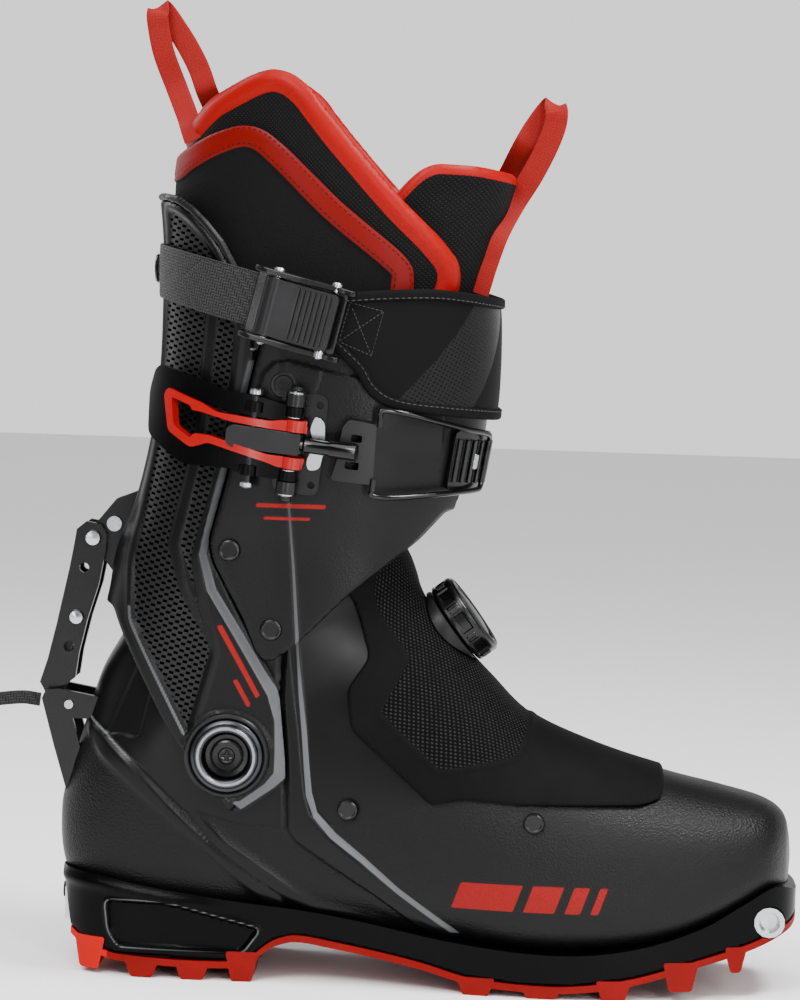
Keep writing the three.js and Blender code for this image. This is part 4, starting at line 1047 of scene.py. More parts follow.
RIDGE_LINE = [(17.5, 171), (18.5, 140), (20.6, 110), (24.1, 74), (26.2, 47)]
COLLAR_PANEL = [
    (8.3, 118), (8.5, 133.3), (8.7, 142.7), (10.4, 149.3), (14.8, 153.7), (20.4, 154.8), (33.7, 151.5),
    (49.7, 148.5), (57.4, 145.2), (80, 138), (80, 118),
]
COLLAR_SEAM = [(34.2, 151), (31.6, 142), (29.6, 135.4)]
SCREW_PLACE = (18.7, 145)


def front_cuff_relief(x, y, z):
    side = ramp(np.abs(y), 8, 20)
    outline = rounded(FRONT_CUFF, 2.5)
    fall = edge_drop(np.maximum(depth_in(x, z, outline), 0), 1.1)
    ahead = ahead_of_ridge(x, z)
    wide = np.interp(z, [47, 130], [3.4, 0.8])
    step = np.interp(z, [47, 130], [1.1, 0.25])
    ridge = step * (1 - ramp(ahead, -wide / 2, wide / 2)) * ramp(ahead, -22, -4)
    panel = 0.9 * ramp(depth_in(x, z, COLLAR_PANEL), -0.4, 0.9) * ramp(z, 118, 132)
    seam = -0.45 * np.exp(-((line_distance(x, z, COLLAR_SEAM) / 0.6) ** 2))
    return side * (ridge + panel + seam) - fall


def front_cuff_zones(piece):
    x, y, z = places(piece).T
    # Painted highlight zone: a band along the ridge line's chamfer, narrowing going up and ending at 118 mm.
    ahead = ahead_of_ridge(x, z)
    wide = np.interp(z, [47, 130], [1.3, 0.35])
    paint_zone(piece, "edge", np.where((np.abs(y) > 10) & (z < 118), wide / 2 - ahead, FAR_OUT))
    paint_zone(piece, "edge_limit", wide / 2 + ahead)
    paint(piece, "grain", 0.3)
    paint_marks(piece, CUFF_MARKS)


NOTCH = [(58, 60), (120, 60), (120, 106), (58, 106)]


def make_cuff():
    rear = cuff_wall("cuff_spine", rear_cuff_relief, -26, 219, REAR_CUFF)
    for _, sign in SIDES:
        combine(rear, rod(12.2, 30, 70, AXIS, (0, sign, 0), 64))
    rear_cuff_zones(rear)
    finish(rear, "cuff", CARBON_SHELL, ["cuff_rear"])
    front = cuff_wall("cuff_front_shell", front_cuff_relief, 30, 176, FRONT_CUFF)
    combine(front, prism("notch", rounded(NOTCH, 8), -23, 23))
    for _, sign in SIDES:
        for x, z in CUFF_RIVETS:
            combine(front, rod(1.9, 15, 70, (x, 0, z), (0, sign, 0), 24))
    smooth(front, 32)
    front_cuff_zones(front)
    finish(front, "cuff", GRAINED, ["cuff_front"])
    rim = cuff_wall("spoiler_rim", spoiler_relief, 184, 221, SPOILER, 0.6)
    paint(rim, "grain", 0.2)
    finish(rim, "cuff", RUBBER_BLACK, ["spoiler"])


def spoiler_relief(x, y, z):
    return 1.3 - edge_drop(np.maximum(depth_in(x, z, SPOILER), 0), 1.3)


# ------------------------------------------------------------------ gaiter
GAITER = [
    (41.5, 66.3), (47.2, 62), (49.4, 55.8), (54.1, 39.3), (45.8, 26.6), (47.7, 11.4), (80, -16.5),
    (91.5, -13.4), (115, -14.6), (161.5, -14.3), (170.3, -11.7), (172, 20), (60, 120), (20, 84), (30, 70),
]
GAITER_MESH = [
    (88, 110), (64.9, 82.5), (54.3, 69.7), (55.9, 58), (70, 39), (59, 18.4), (83, -2.7), (112.6, 3.3),
    (119, 20.3), (126, 60),
]
GAITER_EDGE = rounded(GAITER, 3)
MESH_EDGE = rounded(GAITER_MESH, 2.5)


def gaiter_relief(x, y, z):
    depth = depth_in(x, z, GAITER_EDGE)
    fall = edge_drop(np.maximum(depth, 0), 1.2)
    mesh = depth_in(x, z, MESH_EDGE)
    return -fall - 0.45 * ramp(mesh, 0, 0.8) + 0.25 * np.exp(-(((mesh + 1.4) / 1.0) ** 2))


def make_gaiter():
    keys = [k for k in foot_keys(0.9) if 1.5 < k < RIM - 0.001]
    body = loft("instep_gaiter", relieve(foot_rings(keys, 380, 2.0), gaiter_relief))
    combine(body, loft("hollow", foot_rings(foot_keys(3.2, RIM), 130, 0.45)))
    combine(body, prism("outline", GAITER_EDGE), "INTERSECT")
    smooth(body, 32)
    x, y, z = places(body).T
    paint_zone(body, "weave", depth_in(x, z, MESH_EDGE))
    unwrap(body, 0.77 * x - 0.64 * z, np.abs(y) - 0.64 * x - 0.77 * z)
    finish(body, "shell", GAITER_CLOTH, ["gaiter"])


# ------------------------------------------------------------------ sole
SOLE_WIDTHS = [
    (-66.5, 10), (-63, 20), (-55, 28.5), (-42, 34), (-20, 36.5), (10, 36.5), (35, 35), (60, 37.5),
    (88, 43.5), (116, 47), (144, 47.5), (165, 45), (184, 41), (199, 36.5), (211, 31.5), (219, 25),
    (223.5, 17), (225, 8),
]
WELT = [
    (-62, -73), (-54, -77.5), (-42, -81), (9, -81.5), (14, -77), (20, -72.8), (28, -70.8), (42, -72.6),
    (78, -78.5), (96, -82.8), (118, -84.6), (137, -84.4), (160, -81), (183, -74.5), (206, -67.5),
    (222, -60.5), (225.5, -57),
]
SOLE_TOP = [
    (225.5, -49), (216, -46), (204, -52), (186, -62), (160, -70), (130, -73), (90, -70), (50, -64),
    (28, -61), (0, -58), (-30, -54), (-50, -51), (-67, -50),
]
LUGS = [
    (-60, -47), (-39, -25), (-19, -5), (1, 14), (92, 107), (117, 133), (146, 160), (172, 186), (196, 205),
]
HEEL_PANEL = [
    (-47.1, -60.6), (-32.3, -60.1), (-19.8, -60.9), (14.1, -69.2), (7.3, -78.4), (-41.5, -78),
    (-45.6, -72.2),
]
GROUND = -90
LUG_TAPER = 2.5
RUBBER = 3
TOE_BORE = (6.4, -60, 60, (213.5, 0, -60), (0, 1, 0), 40)
HEEL_PANEL_EDGE = rounded(HEEL_PANEL, 2.5)


def plan_outline(grow):
    """The walking sole seen from above, as x and y, smoothed at toe and heel."""
    row = curve_through([(x, w + grow) for x, w in SOLE_WIDTHS], 6)
    base = rounded(np.vstack([row * [1, -1], row[::-1]]), 2.0, 3)
    return curve_through(np.vstack([base, base[:1]]), 3)[:-1]


def plan_rings(outline, levels):
    """A plan outline of x and y repeated up the boot, so that its sides shade smoothly."""
    return np.array([np.column_stack([outline, np.full(len(outline), z)]) for z in levels])


def height_on(line, x):
    """How high an open side-view line is at x."""
    xs, zs = np.array(line if line[0][0] < line[-1][0] else line[::-1]).T
    return np.interp(x, xs, zs)


def sole_block_relief(x, y, z):
    panel = depth_in(x, z, HEEL_PANEL_EDGE)
    recess = -2.0 * ramp(panel, 0, 0.9) + 0.5 * np.exp(-(((panel + 0.8) / 0.7) ** 2))
    ledge = 1.5 * np.exp(-(((z - height_on(SOLE_TOP, x) + 3.5) / 2.2) ** 2)) * (1 - ramp(x, -25, 5))
    return recess + ledge - edge_drop(np.maximum(z - height_on(WELT, x), 0), 0.9)


def make_sole_plate():
    rings = plan_rings(plan_outline(0), np.arange(-92, -40, 0.9))
    plate = loft("sole_block", relieve(rings, sole_block_relief))
    side_view = np.vstack([curve_through(WELT, 5), curve_through(SOLE_TOP, 4)])
    combine(plate, prism("outline", side_view), "INTERSECT")
    combine(plate, loft("foot", foot_rings(foot_keys(3, RIM), 160, 0.3)))
    combine(plate, rod(*TOE_BORE))
    combine(plate, box_solid((-80, -59.5), (-15, 15), (-73, -58.5)))
    smooth(plate, 32)
    x, _, z = places(plate).T
    paint(plate, "grain", 0.2)
    # Painted highlight zone: a thin line on the raised border round the heel panel.
    paint_zone(plate, "edge", 0.3 - np.abs(depth_in(x, z, HEEL_PANEL_EDGE) + 0.6))
    paint_zone(plate, "edge_limit", FAR_IN)
    finish(plate, "shell", SOLE_BLACK, ["sole_plate"])


def box_solid(xs, ys, zs, at=(0, 0, 0), turn=np.eye(3)):
    corners = np.array([(x, y, z) for x in xs for y in ys for z in zs], float)
    faces = [(0, 1, 3, 2), (4, 6, 7, 5), (0, 4, 5, 1), (2, 3, 7, 6), (0, 2, 6, 4), (1, 5, 7, 3)]
    return make_solid("block", corners @ turn.T + np.array(at), faces)


def make_lug(start, end):
    """One tapered lug right across the sole, split under its middle and grooved on its tread."""
    heights = height_on(WELT, start), height_on(WELT, end)
    root = max(heights) - 1.2
    foot = max(GROUND, min(heights) - 8.5)
    outline = [(start, root), (start + LUG_TAPER, foot), (end - LUG_TAPER, foot), (end, root)]
    lug = prism("lug", rounded(outline, 1.2, 4), -60, 60)
    combine(lug, box_solid((start - 1, end + 1), (-11, 11), (GROUND - 1, foot + 4.5)))
    centre = (start + end) / 2
    combine(lug, box_solid((centre - 0.9, centre + 0.9), (-24, 24), (foot - 1, foot + 2.2)))
    return lug


def make_outsole():
    welt = curve_through(WELT, 5)
    band = np.vstack([welt - [0, 0.3], (welt - [0, RUBBER])[::-1]])
    rubber_band = prism("rubber_sole", band, -60, 60)
    for start, end in LUGS:
        combine(rubber_band, make_lug(start, end), "UNION")
    combine(rubber_band, loft("plan", plan_rings(plan_outline(0.5), np.arange(-92, -39.4, 1.2))), "INTERSECT")
    combine(rubber_band, rod(*TOE_BORE))
    smooth(rubber_band, 32)
    x = places(rubber_band)[:, 0]
    paint_zone(rubber_band, "bright", -46 - x)
    finish(rubber_band, "shell", RUBBER_RED, ["outsole"])


# ------------------------------------------------------------------ places on the leg
def band_point(rows, angle, height, tilt, grow):
    z = np.full(np.shape(angle), float(height))
    for _ in range(6):
        point = leg_points(rows, z, angle, grow)
        z = height - math.tan(math.radians(tilt)) * point[..., 0]
    return point


def spots(rows, angle, height, tilt, grow):
    """Places on a band round the leg, with their directions: along the band, up, and outwards."""
    angle = np.atleast_1d(np.asarray(angle, float))
    origin = band_point(rows, angle, height, tilt, grow)
    before, after = (band_point(rows, angle + turn, height, tilt, grow) for turn in (-0.02, 0.02))
    along = after - before
    along /= np.linalg.norm(along, axis=-1, keepdims=True)
    rise = band_point(rows, angle, height + 1, tilt, grow) - origin
    out = np.cross(along, rise)
    out /= np.linalg.norm(out, axis=-1, keepdims=True)
    return origin, along, np.cross(out, along), out


def lateral_angle(rows, x, z):
    rear, front, _, square = smooth_rows(rows, z)[1:]
    share = (x - (front + rear) / 2) / ((front - rear) / 2)
    return 2 * math.pi - math.acos(float(power(share, square / 2)))


class Band:
    """A line round the leg that flat shapes are bent on to: u along it, v up, w outwards."""

    def __init__(self, height, tilt, start):
        angles = np.radians(np.linspace(100, 420, 900))
        self.rows = spots(CUFF, angles, height, tilt, 0)
        self.along = path_lengths(self.rows[0])
        self.along -= np.interp(start, angles, self.along)
        self.angles = angles

    def at(self, u):
        return [np.stack([np.interp(u, self.along, row[:, k]) for k in range(3)], -1) for row in self.rows]

    def bend(self, local):
        """Points of u, -w and v, laid on the leg."""
        origin, _, up, out = self.at(local[..., 0])
        return origin + up * local[..., 2:3] - out * local[..., 1:2]

    def rigid(self, u):
        """The same without bending: everything stands on the place at u."""
        origin, along, up, out = (row[0] for row in self.at(np.array([u])))

        def lay(local):
            return origin + along * (local[..., 0:1] - u) + up * local[..., 2:3] - out * local[..., 1:2]

        return lay


def reshape(piece, lay, angle=35):
    """Moves a piece's points from flat working places to where lay puts them."""
    moved = world(lay(places(piece)))
    piece.data.vertices.foreach_set("co", moved.astype(np.float32).ravel())
    piece.data.update()
    outward(piece)
    smooth(piece, angle)
    return piece


def slab(name, us, vs, w0, w1, step=2.5):
    """A flat block with a grid on its faces, so that it bends well."""
    nu, nv = (max(2, math.ceil((high - low) / step) + 1) for low, high in (us, vs))
    grid = np.array([[a, b] for a in np.linspace(*us, nu) for b in np.linspace(*vs, nv)])
    points = np.vstack([np.column_stack([grid[:, 0], np.full(len(grid), -w), grid[:, 1]]) for w in (w0, w1)])
    faces, count = [], nu * nv
    for i in range(nu - 1):
        for k in range(nv - 1):
            a = i * nv + k
            faces.append((a, a + 1, a + nv + 1, a + nv))
            faces.append((count + a, count + a + nv, count + a + nv + 1, count + a + 1))
    edge = [i * nv for i in range(nu)] + [(nu - 1) * nv + k for k in range(1, nv)]
    edge += [i * nv + nv - 1 for i in range(nu - 2, -1, -1)] + list(range(nv - 2, 0, -1))
    for a, b in zip(edge, edge[1:] + edge[:1]):
        faces.append((a, b, count + b, count + a))
    return make_solid(name, points, faces)


def plate(name, outline, w0, w1, holes=(), step=2.5):
    """A flat plate with a side-view outline of u and v, from one height above the leg to another."""
    outline = np.asarray(outline, float)
    (u0, v0), (u1, v1) = outline.min(0) - 0.5, outline.max(0) + 0.5
    made = slab(name, (u0, u1), (v0, v1), w0, w1, step)
    combine(made, prism("outline", outline, -w1 - 1, -w0 + 1), "INTERSECT")
    for hole in holes:
        combine(made, prism("hole", hole, -w1 - 1, -w0 + 1))
    return made


def circle(u, v, radius, count=28):
    turn = np.arange(count) * 2 * math.pi / count
    return np.column_stack([u + radius * np.cos(turn), v + radius * np.sin(turn)])


def tube(name, points, radius, sides=14):
    """A round bar along points."""
    points = np.asarray(points, float)
    ahead = np.gradient(points, axis=0)
    ahead /= np.linalg.norm(ahead, axis=1, keepdims=True)
    side = np.cross(ahead[0], [0.3, 0.5, 0.8])
    turn = np.arange(sides) * 2 * math.pi / sides
    rings = []
    for p, t, r in zip(points, ahead, np.broadcast_to(radius, len(points))):
        side = side - t * side.dot(t)
        side /= np.linalg.norm(side)
        up = np.cross(t, side)
        rings.append(p + r * (np.cos(turn)[:, None] * side + np.sin(turn)[:, None] * up))
    return loft(name, rings)


def strip(name, points, outs, low, high, thickness, crown=0.0, across=26, softness=0.35):
    """A flat band of cloth along points, with rounded edges; low and high are its reach down and up."""
    points, outs = np.asarray(points, float), np.asarray(outs, float)
    ahead = np.gradient(points, axis=0)
    side = np.cross(outs, ahead)
    side /= np.linalg.norm(side, axis=1, keepdims=True)
    outs = outs / np.linalg.norm(outs, axis=1, keepdims=True)
    low, high = np.broadcast_to(low, len(points)), np.broadcast_to(high, len(points))
    turn = np.arange(2 * across) * math.pi / across
    share = power(np.cos(turn), softness)
    lift = power(np.sin(turn), softness)
    rings = []
    for p, o, s, a, b in zip(points, outs, side, low, high):
        width = (a + b) / 2 + share * (b - a) / 2
        depth = thickness / 2 * (1 + lift) + crown * np.where(lift > 0, 1 - share**2, 0)
        rings.append(p + width[:, None] * s + depth[:, None] * o)
    made = loft(name, rings, 60)
    steps = path_lengths(points)
    u = np.concatenate([np.repeat(steps, 2 * across), [0, steps[-1]]])
    width = np.concatenate([((a + b) / 2 + share * (b - a) / 2) for a, b in zip(low, high)] + [[0, 0]])
    unwrap(made, u, width)
    return made


def stitch_row(name, points, outs, pitch=2.6, length=1.9, size=0.32):
    """A row of sewn stitches along points on a surface."""
    points, outs = np.asarray(points, float), np.asarray(outs, float)
    steps = path_lengths(points)
    starts = np.arange(pitch / 2, steps[-1] - length, pitch)
    made_points, faces = [], []
    turn = np.arange(6) * math.pi / 3
    for start in starts:
        at = start + length * np.array([0, 0.25, 0.75, 1])
        line = np.stack([np.interp(at, steps, points[:, k]) for k in range(3)], -1)
        out = np.array([np.interp(start, steps, outs[:, k]) for k in range(3)])
        out /= np.linalg.norm(out)
        ahead = line[-1] - line[0]
        ahead /= np.linalg.norm(ahead)
        side = np.cross(out, ahead)
        base = len(made_points)
        for p, r in zip(line, (0.35, 1, 1, 0.35)):
            for t in turn:
                made_points.append(p + size * r * (math.cos(t) * side + 0.8 * math.sin(t) * out))
        for ring in range(3):
            for k in range(6):
                n = (k + 1) % 6
                a = base + ring * 6
                faces.append((a + k, a + n, a + 6 + n, a + 6 + k))
        faces.append(tuple(base + k for k in range(5, -1, -1)))
        faces.append(tuple(base + 18 + k for k in range(6)))
    return make_solid(name, made_points, faces, 60)


# ------------------------------------------------------------------ inner boot
LOWER_EDGE = [(40, 101), (12, 106.5), (6, 93), (-8, 79), (-30, 72), (-60, 54)]
LINER_TOP = [
    (-60, 240), (-28, 243), (-21, 250), (-15.4, 255), (-7.8, 259), (1.7, 264), (9.4, 266.4), (17.2, 265),
    (25, 259.6), (37, 244.5), (61, 218), (77, 203), (84.5, 193.7), (84.8, 184), (76, 165), (68, 150),
    (62, 106),
]
FLAP_TOP = [
    (-60, 226), (-30, 231), (-24.7, 234.8), (-12.6, 241), (-1, 244.4), (7.5, 242.7), (16.5, 236),
    (38.4, 215.5), (62, 197), (67, 191), (67, 183.6), (66, 150), (64, 106),
]
TONGUE_OUTLINE = [
    (80, 98), (62, 104), (50, 108), (44, 160), (48, 205), (61, 222.5), (67.7, 229), (73.6, 231.7),
    (89.6, 231.4), (110, 228), (110, 98),
]
LINER_EDGE = rounded(LOWER_EDGE + LINER_TOP, 9)
FLAP_EDGE = rounded(LOWER_EDGE + FLAP_TOP, 5)
TONGUE_EDGE = rounded(TONGUE_OUTLINE, 5)
FLAP_LINE = curve_through(FLAP_TOP[1:12], 10)


def soft_wall(name, rows, low, high, outline, outer, inner, outer_relief, inner_relief, step=1.6, count=220):
    """A soft piece of the leg: relieved outside and inside, and cut to a side-view outline."""
    body = loft(name, relieve(leg_rings(rows, low, high, step, count, outer), outer_relief))
    hollow = loft("hollow", relieve(leg_rings(rows, low - 1, high + 1, step, count, inner), inner_relief))
    combine(body, hollow)
    combine(body, prism("outline", outline), "INTERSECT")
    smooth(body, 50)
    return body


def padding(outline, radius, puff, from_edge):
    """Rounds a pad's edges and swells it behind them."""

    def relief(x, y, z):
        depth = np.maximum(depth_in(x, z, outline), 0)
        return puff * np.exp(-(((depth - from_edge) / from_edge) ** 2)) - edge_drop(depth, radius)

    return relief


def negative(relief):
    return lambda x, y, z: -relief(x, y, z)


def soften(piece, weight, turns=8):
    """Relaxes a piece's points where their weight is above zero."""
    group = piece.vertex_groups.new(name="soft")
    for index in np.nonzero(weight > 0)[0]:
        group.add([int(index)], float(weight[index]), "REPLACE")
    modifier = piece.modifiers.new("soften", "SMOOTH")
    modifier.factor = 0.5
    modifier.iterations = turns
    modifier.vertex_group = group.name
    apply_modifiers(piece)


def make_liner():
    puff = padding(LINER_EDGE, 2.55, 1.2, 4.5)
    outer = liner_relief(puff)
    liner = soft_wall("inner_boot", LINER, 60, 274, LINER_EDGE, -2.4, -7.4, outer, negative(puff))
    x, _, z = places(liner).T
    soften(liner, ramp(2.6 - depth_in(x, z, LINER_EDGE), 0, 1.2) * (z > 160))
    smooth(liner, 60)
    x, _, z = places(liner).T
    paint_zone(liner, "rim", np.minimum(8.8 - depth_in(x, z, LINER_EDGE), z - 172))
    unwrap_round_leg(liner)
    finish(liner, "both", LINER_CLOTH, ["liner_cuff"])


def liner_relief(puff):
    """The padding, with a sewn channel behind its rim."""

    def relief(x, y, z):
        return puff(x, y, z) - 0.8 * np.exp(-(((depth_in(x, z, LINER_EDGE) - 8.4) / 0.9) ** 2))

    return relief


def unwrap_round_leg(piece):
    x, y, z = places(piece).T
    unwrap(piece, np.arctan2(y, x - 30) * 48, z)


def flap_fall(x, y, z):
    return -edge_drop(np.maximum(depth_in(x, z, FLAP_EDGE), 0), 0.9)


def flap_relief(x, y, z):
    """The flap's edge, with a bound border that stands a little proud and ends in a step."""
    depth = line_distance(x, z, FLAP_LINE)
    border = 0.9 * ramp(8.8 - depth, -0.4, 0.5) - 0.25 * np.exp(-(((depth - 7.2) / 0.4) ** 2))
    return flap_fall(x, y, z) + border * ramp(z, 160, 166)


def make_flap():
    flap = soft_wall("flap", LINER, 60, 252, FLAP_EDGE, 0.0, -1.8, flap_relief, negative(flap_fall), 1.0, 330)
    x, _, z = places(flap).T
    paint_zone(flap, "rim", np.minimum(8.6 - line_distance(x, z, FLAP_LINE), z - 163))
    unwrap_round_leg(flap)
    finish(flap, "both", FLAP_CLOTH, ["liner_flap"])
    for side, sign in SIDES:
        for inset, row in ((1.4, "outer"), (7.2, "inner")):
            x, z = offset_line(FLAP_LINE, -inset).T
            keep = (z > 172) & (x > -28)
            x, z = x[keep], z[keep]
            points = np.column_stack([x, sign * leg_y(LINER, x, z, 0.75), z])
            outs = np.tile([0.0, sign, 0.0], (len(x), 1))
            made = stitch_row(f"flap_stitches_{row}_{side}", points, outs, 2.4, 1.8, 0.3)
            finish(made, "both", THREAD_DARK)


def offset_line(line, distance):
    """A side-view line moved sideways; negative moves it to the right of its direction."""
    line = np.asarray(line, float)
    ahead = np.gradient(line, axis=0)
    ahead /= np.linalg.norm(ahead, axis=1, keepdims=True)
    return line + distance * np.column_stack([-ahead[:, 1], ahead[:, 0]])


def make_tongue():
    puff = padding(TONGUE_EDGE, 2.4, 1.0, 4.0)
    tongue = soft_wall("tongue_pad", TONGUE, 99, 239, TONGUE_EDGE, 0.0, -5.0, puff, negative(puff))
    x, _, z = places(tongue).T
    depth = depth_in(x, z, TONGUE_EDGE)
    top = 231.5 - z - 0.06 * np.maximum(x - 90, 0)
    rim = np.minimum(depth, np.where(x > 88, top, depth))
    paint_zone(tongue, "rim", np.minimum(3.9 - rim, z - 160))
    unwrap_round_leg(tongue)
    finish(tongue, "cuff", LINER_CLOTH, ["tongue"])


WHOLE_FOOT = ((-90, 240), (-70, 70))  # reaches past the foot all round, along and across


def make_foot_liner():
    """The inner boot's foot, with its tread: an outer and an inner skin joined round the ankle opening."""
    body = loft("inner_boot_foot", foot_rings(foot_keys(3.5, RIM), 120, -SHELL_WALL - 0.6))
    hollow = loft("hollow", foot_rings(foot_keys(3.5, RIM + 1), 120, -SHELL_WALL - 5.2))
    combine(hollow, box_solid(*WHOLE_FOOT, (-60, 120)), "INTERSECT")
    combine(body, box_solid(*WHOLE_FOOT, (-63.5, 120)), "INTERSECT")
    combine(body, hollow)
    combine(body, rod(69, -60, 60, AXIS, (0, 1, 0), 90), "INTERSECT")
    finish(body, "shell", LINING, ["liner_foot"])


def loop_side(points, sign, rows, grow, lift_off, top_y):
    """One strand of a pull loop: it lies on the leg up to a height, and then leans in to the loop's top."""
    x, z = np.array(points, float).T
    on_leg = leg_y(rows, x, np.minimum(z, lift_off), grow)
    rise = ramp(z, lift_off, z.max())
    return np.column_stack([x, sign * (on_leg + (top_y - on_leg) * rise), z])


def pull_loop(name, near, far, lean, half_width, stands_for):
    """A webbing loop folded flat over its top; its faces look sideways."""
    path = curve_through(np.vstack([near, far]), 12)
    steps = path_lengths(path)
    turn = math.pi * ramp(steps - steps[np.argmax(path[:, 2])], -3.5, 3.5)
    up = np.array([math.sin(math.radians(lean)), 0, math.cos(math.radians(lean))])
    outs = np.array([0, -1, 0]) * np.cos(turn)[:, None] + up * np.sin(turn)[:, None]
    made = strip(name, path, outs, -half_width, half_width, 1.3, 0.0, 16, 0.3)
    finish(made, "cuff", WEBBING_RED, [stands_for])


REAR_LOOP_NEAR = [
    (-20.9, 238.4), (-23.2, 243.6), (-25.6, 248.5), (-30.8, 259.5), (-36, 272.4), (-38.3, 282),
    (-39, 288.5),
]
REAR_LOOP_FAR = [(-37.5, 290), (-31.6, 282.5), (-26.6, 275), (-22.3, 267), (-18.8, 258), (-14, 246)]
FRONT_LOOP_NEAR = [
    (91.1, 182), (94.3, 193.6), (98.3, 205.6), (104.3, 218), (111, 229.3), (116.6, 241), (119.4, 249.4),
    (119.6, 255),
]
FRONT_LOOP_FAR = [(117.6, 256.2), (112, 248.7), (107.4, 240.5), (102.1, 229.8), (96.8, 219), (92, 208)]


def make_pull_loops():
    near = loop_side(REAR_LOOP_NEAR, -1, LINER, -1.4, 240, 2.2)
    far = loop_side(REAR_LOOP_FAR[::-1], 1, LINER, -9.5, 252, 2.2)[::-1]
    pull_loop("rear_pull_loop", near, far, -38, 4.3, "rear_loop")
    near = loop_side(FRONT_LOOP_NEAR, -1, TONGUE, 0.9, 222, 2.2)
    far = loop_side(FRONT_LOOP_FAR[::-1], 1, TONGUE, 0.9, 222, 2.2)[::-1]
    pull_loop("front_pull_loop", near, far, 30, 4.5, "front_loop")


# ------------------------------------------------------------------ straps and buckles
STRAP_HEIGHT, STRAP_TILT = 179, 14
BUCKLE_HEIGHT, BUCKLE_TILT = 125.3, 5.4
CUFF_RIVETS = [(-1, 80.4), (16, 50)]
STRAP = Band(STRAP_HEIGHT, STRAP_TILT, lateral_angle(CUFF, 23, 173))
BUCKLE = Band(BUCKLE_HEIGHT, BUCKLE_TILT, lateral_angle(CUFF, 22.7, 123))


def make_power_strap():
    """The strap round the leg, and its free end, which lies back on it behind the buckle, cut to a point."""
    angles = np.linspace(math.radians(52), lateral_angle(CUFF, 6, 178), 150)
    origin, _, _, out = spots(CUFF, angles, STRAP_HEIGHT, STRAP_TILT, 0.8)
    made = strip("power_strap_webbing", origin, out, -10.5, 10.5, 1.5)
    finish(made, "cuff", WEBBING_BLACK, ["power_strap"])
    us = np.linspace(-49, -17, 60)
    origin, _, _, out = STRAP.at(us)
    taper = np.clip((us + 49) / 9.5, 0.04, 1)
    made = strip("power_strap_end", origin + out * 2.9, out, -10 * taper, 10 * taper, 1.3)
    finish(made, "cuff", WEBBING_BLACK)


PAD_LOW = [
    (34, -6), (38, -7.3), (42, -9.2), (51.5, -15), (56.4, -20.4), (62, -23.4), (68.6, -24), (78.5, -22.8),
    (92, -20.8), (100, -20),
]
PAD_HIGH = [(34, 8.5), (39, 10.2), (54, 15.5), (69.5, 20.1), (81, 22), (92, 23), (100, 23.5)]


def pad_profile(angle, x):
    """How far the pad's edges lie below and above its middle line; its outer side has its own outline."""
    front = np.clip(1.25 * np.cos(np.clip(angle * 1.05, -math.pi / 2, math.pi / 2)), 0, 1)
    low, high = (np.interp(x, *np.array(curve_through(line, 6)).T) for line in (PAD_LOW, PAD_HIGH))
    return np.where(angle < 0, low, -9 - 11 * front), np.where(angle < 0, high, 10.5 + 13 * front)


def make_strap_pad():
    start = lateral_angle(CUFF, 38, 170) - 2 * math.pi
    angles = np.linspace(start, math.radians(48), 150)
    origin, _, up, out = spots(CUFF, angles, STRAP_HEIGHT, STRAP_TILT, 0.9)
    low, high = pad_profile(angles, origin[:, 0])
    made = strip("strap_pad_body", origin, out, low + 0.8, high - 0.8, 2.6, 0.7, 40, 0.3)
    steps = path_lengths(origin)
    share = np.concatenate([np.repeat(steps, 80), [0, steps[-1]]])
    x, _, z = places(made).T
    slant = share - 0.55 * (z - (STRAP_HEIGHT - math.tan(math.radians(STRAP_TILT)) * x))
    paint_zone(made, "gloss", np.minimum(slant - 42.5, 71.5 - slant))
    finish(made, "cuff", PAD_CLOTH, ["strap_pad"])
    edges = ((low, 1, "lower"), (high, -1, "upper"))
    for edge, _, name in edges:
        line = origin + up * edge[:, None] + out * 0.3
        bead = strip(f"pad_binding_{name}", line, out, -2.1, 2.1, 3.5, 0.2, 14, 0.5)
        finish(bead, "cuff", BINDING)
    for edge, inwards, name in edges:
        line = origin + up * (edge + inwards * 1.2)[:, None] + out * 4.0
        row = stitch_row(f"pad_stitches_{name}", line, out, 2.4, 1.7, 0.2)
        finish(row, "cuff", THREAD_GREY)
    make_pad_box_stitch(origin, up, out, steps)


def make_pad_box_stitch(origin, up, out, steps):
    """The X in a box that holds the strap's loop to the pad."""
    corners = [(3, -6.5), (16, -8.5), (16, 9), (3, 9), (3, -6.5), (16, 9), (16, -8.5), (3, 9)]
    path = []
    for (a, b), (c, d) in zip(corners[:-1], corners[1:]):
        for t in np.linspace(0, 1, 12, endpoint=False):
            path.append((a + (c - a) * t, b + (d - b) * t))
    u, v = np.array(path).T
    at = [np.stack([np.interp(u, steps, row[:, k]) for k in range(3)], -1) for row in (origin, up, out)]
    line = at[0] + at[1] * v[:, None] + at[2] * 3.35
    finish(stitch_row("pad_box_stitches", line, at[2], 1.7, 1.2, 0.17), "cuff", THREAD_GREY)


def laid(piece, band, width, rigid_at=None):
    """Bends a flat piece on to its band, or stands it on one place there, and rounds its edges."""
    reshape(piece, band.bend if rigid_at is None else band.rigid(rigid_at))
    if width:
        bevel(piece, width)
    return piece


def pin(name, band, u, w, v0, v1, radius, sides=24, dome=0.5):
    """A round bar standing up and down at one place on a band."""
    flat = radius - dome
    profile = [(0, v0), (flat, v0), (radius, v0 + dome), (radius, v1 - dome), (flat, v1), (0, v1)]
    return reshape(turned(name, profile, (u, -w, 0), (0, 0, 1), sides), band.rigid(u))


CAM_U = -9  # the cam lever's pin, along the strap's band
RAIL = [(-18.5, 4.2), (22, 4.2), (22, 9.6), (17, 8.4), (2, 11.8), (-14, 12.4), (-18.5, 9)]


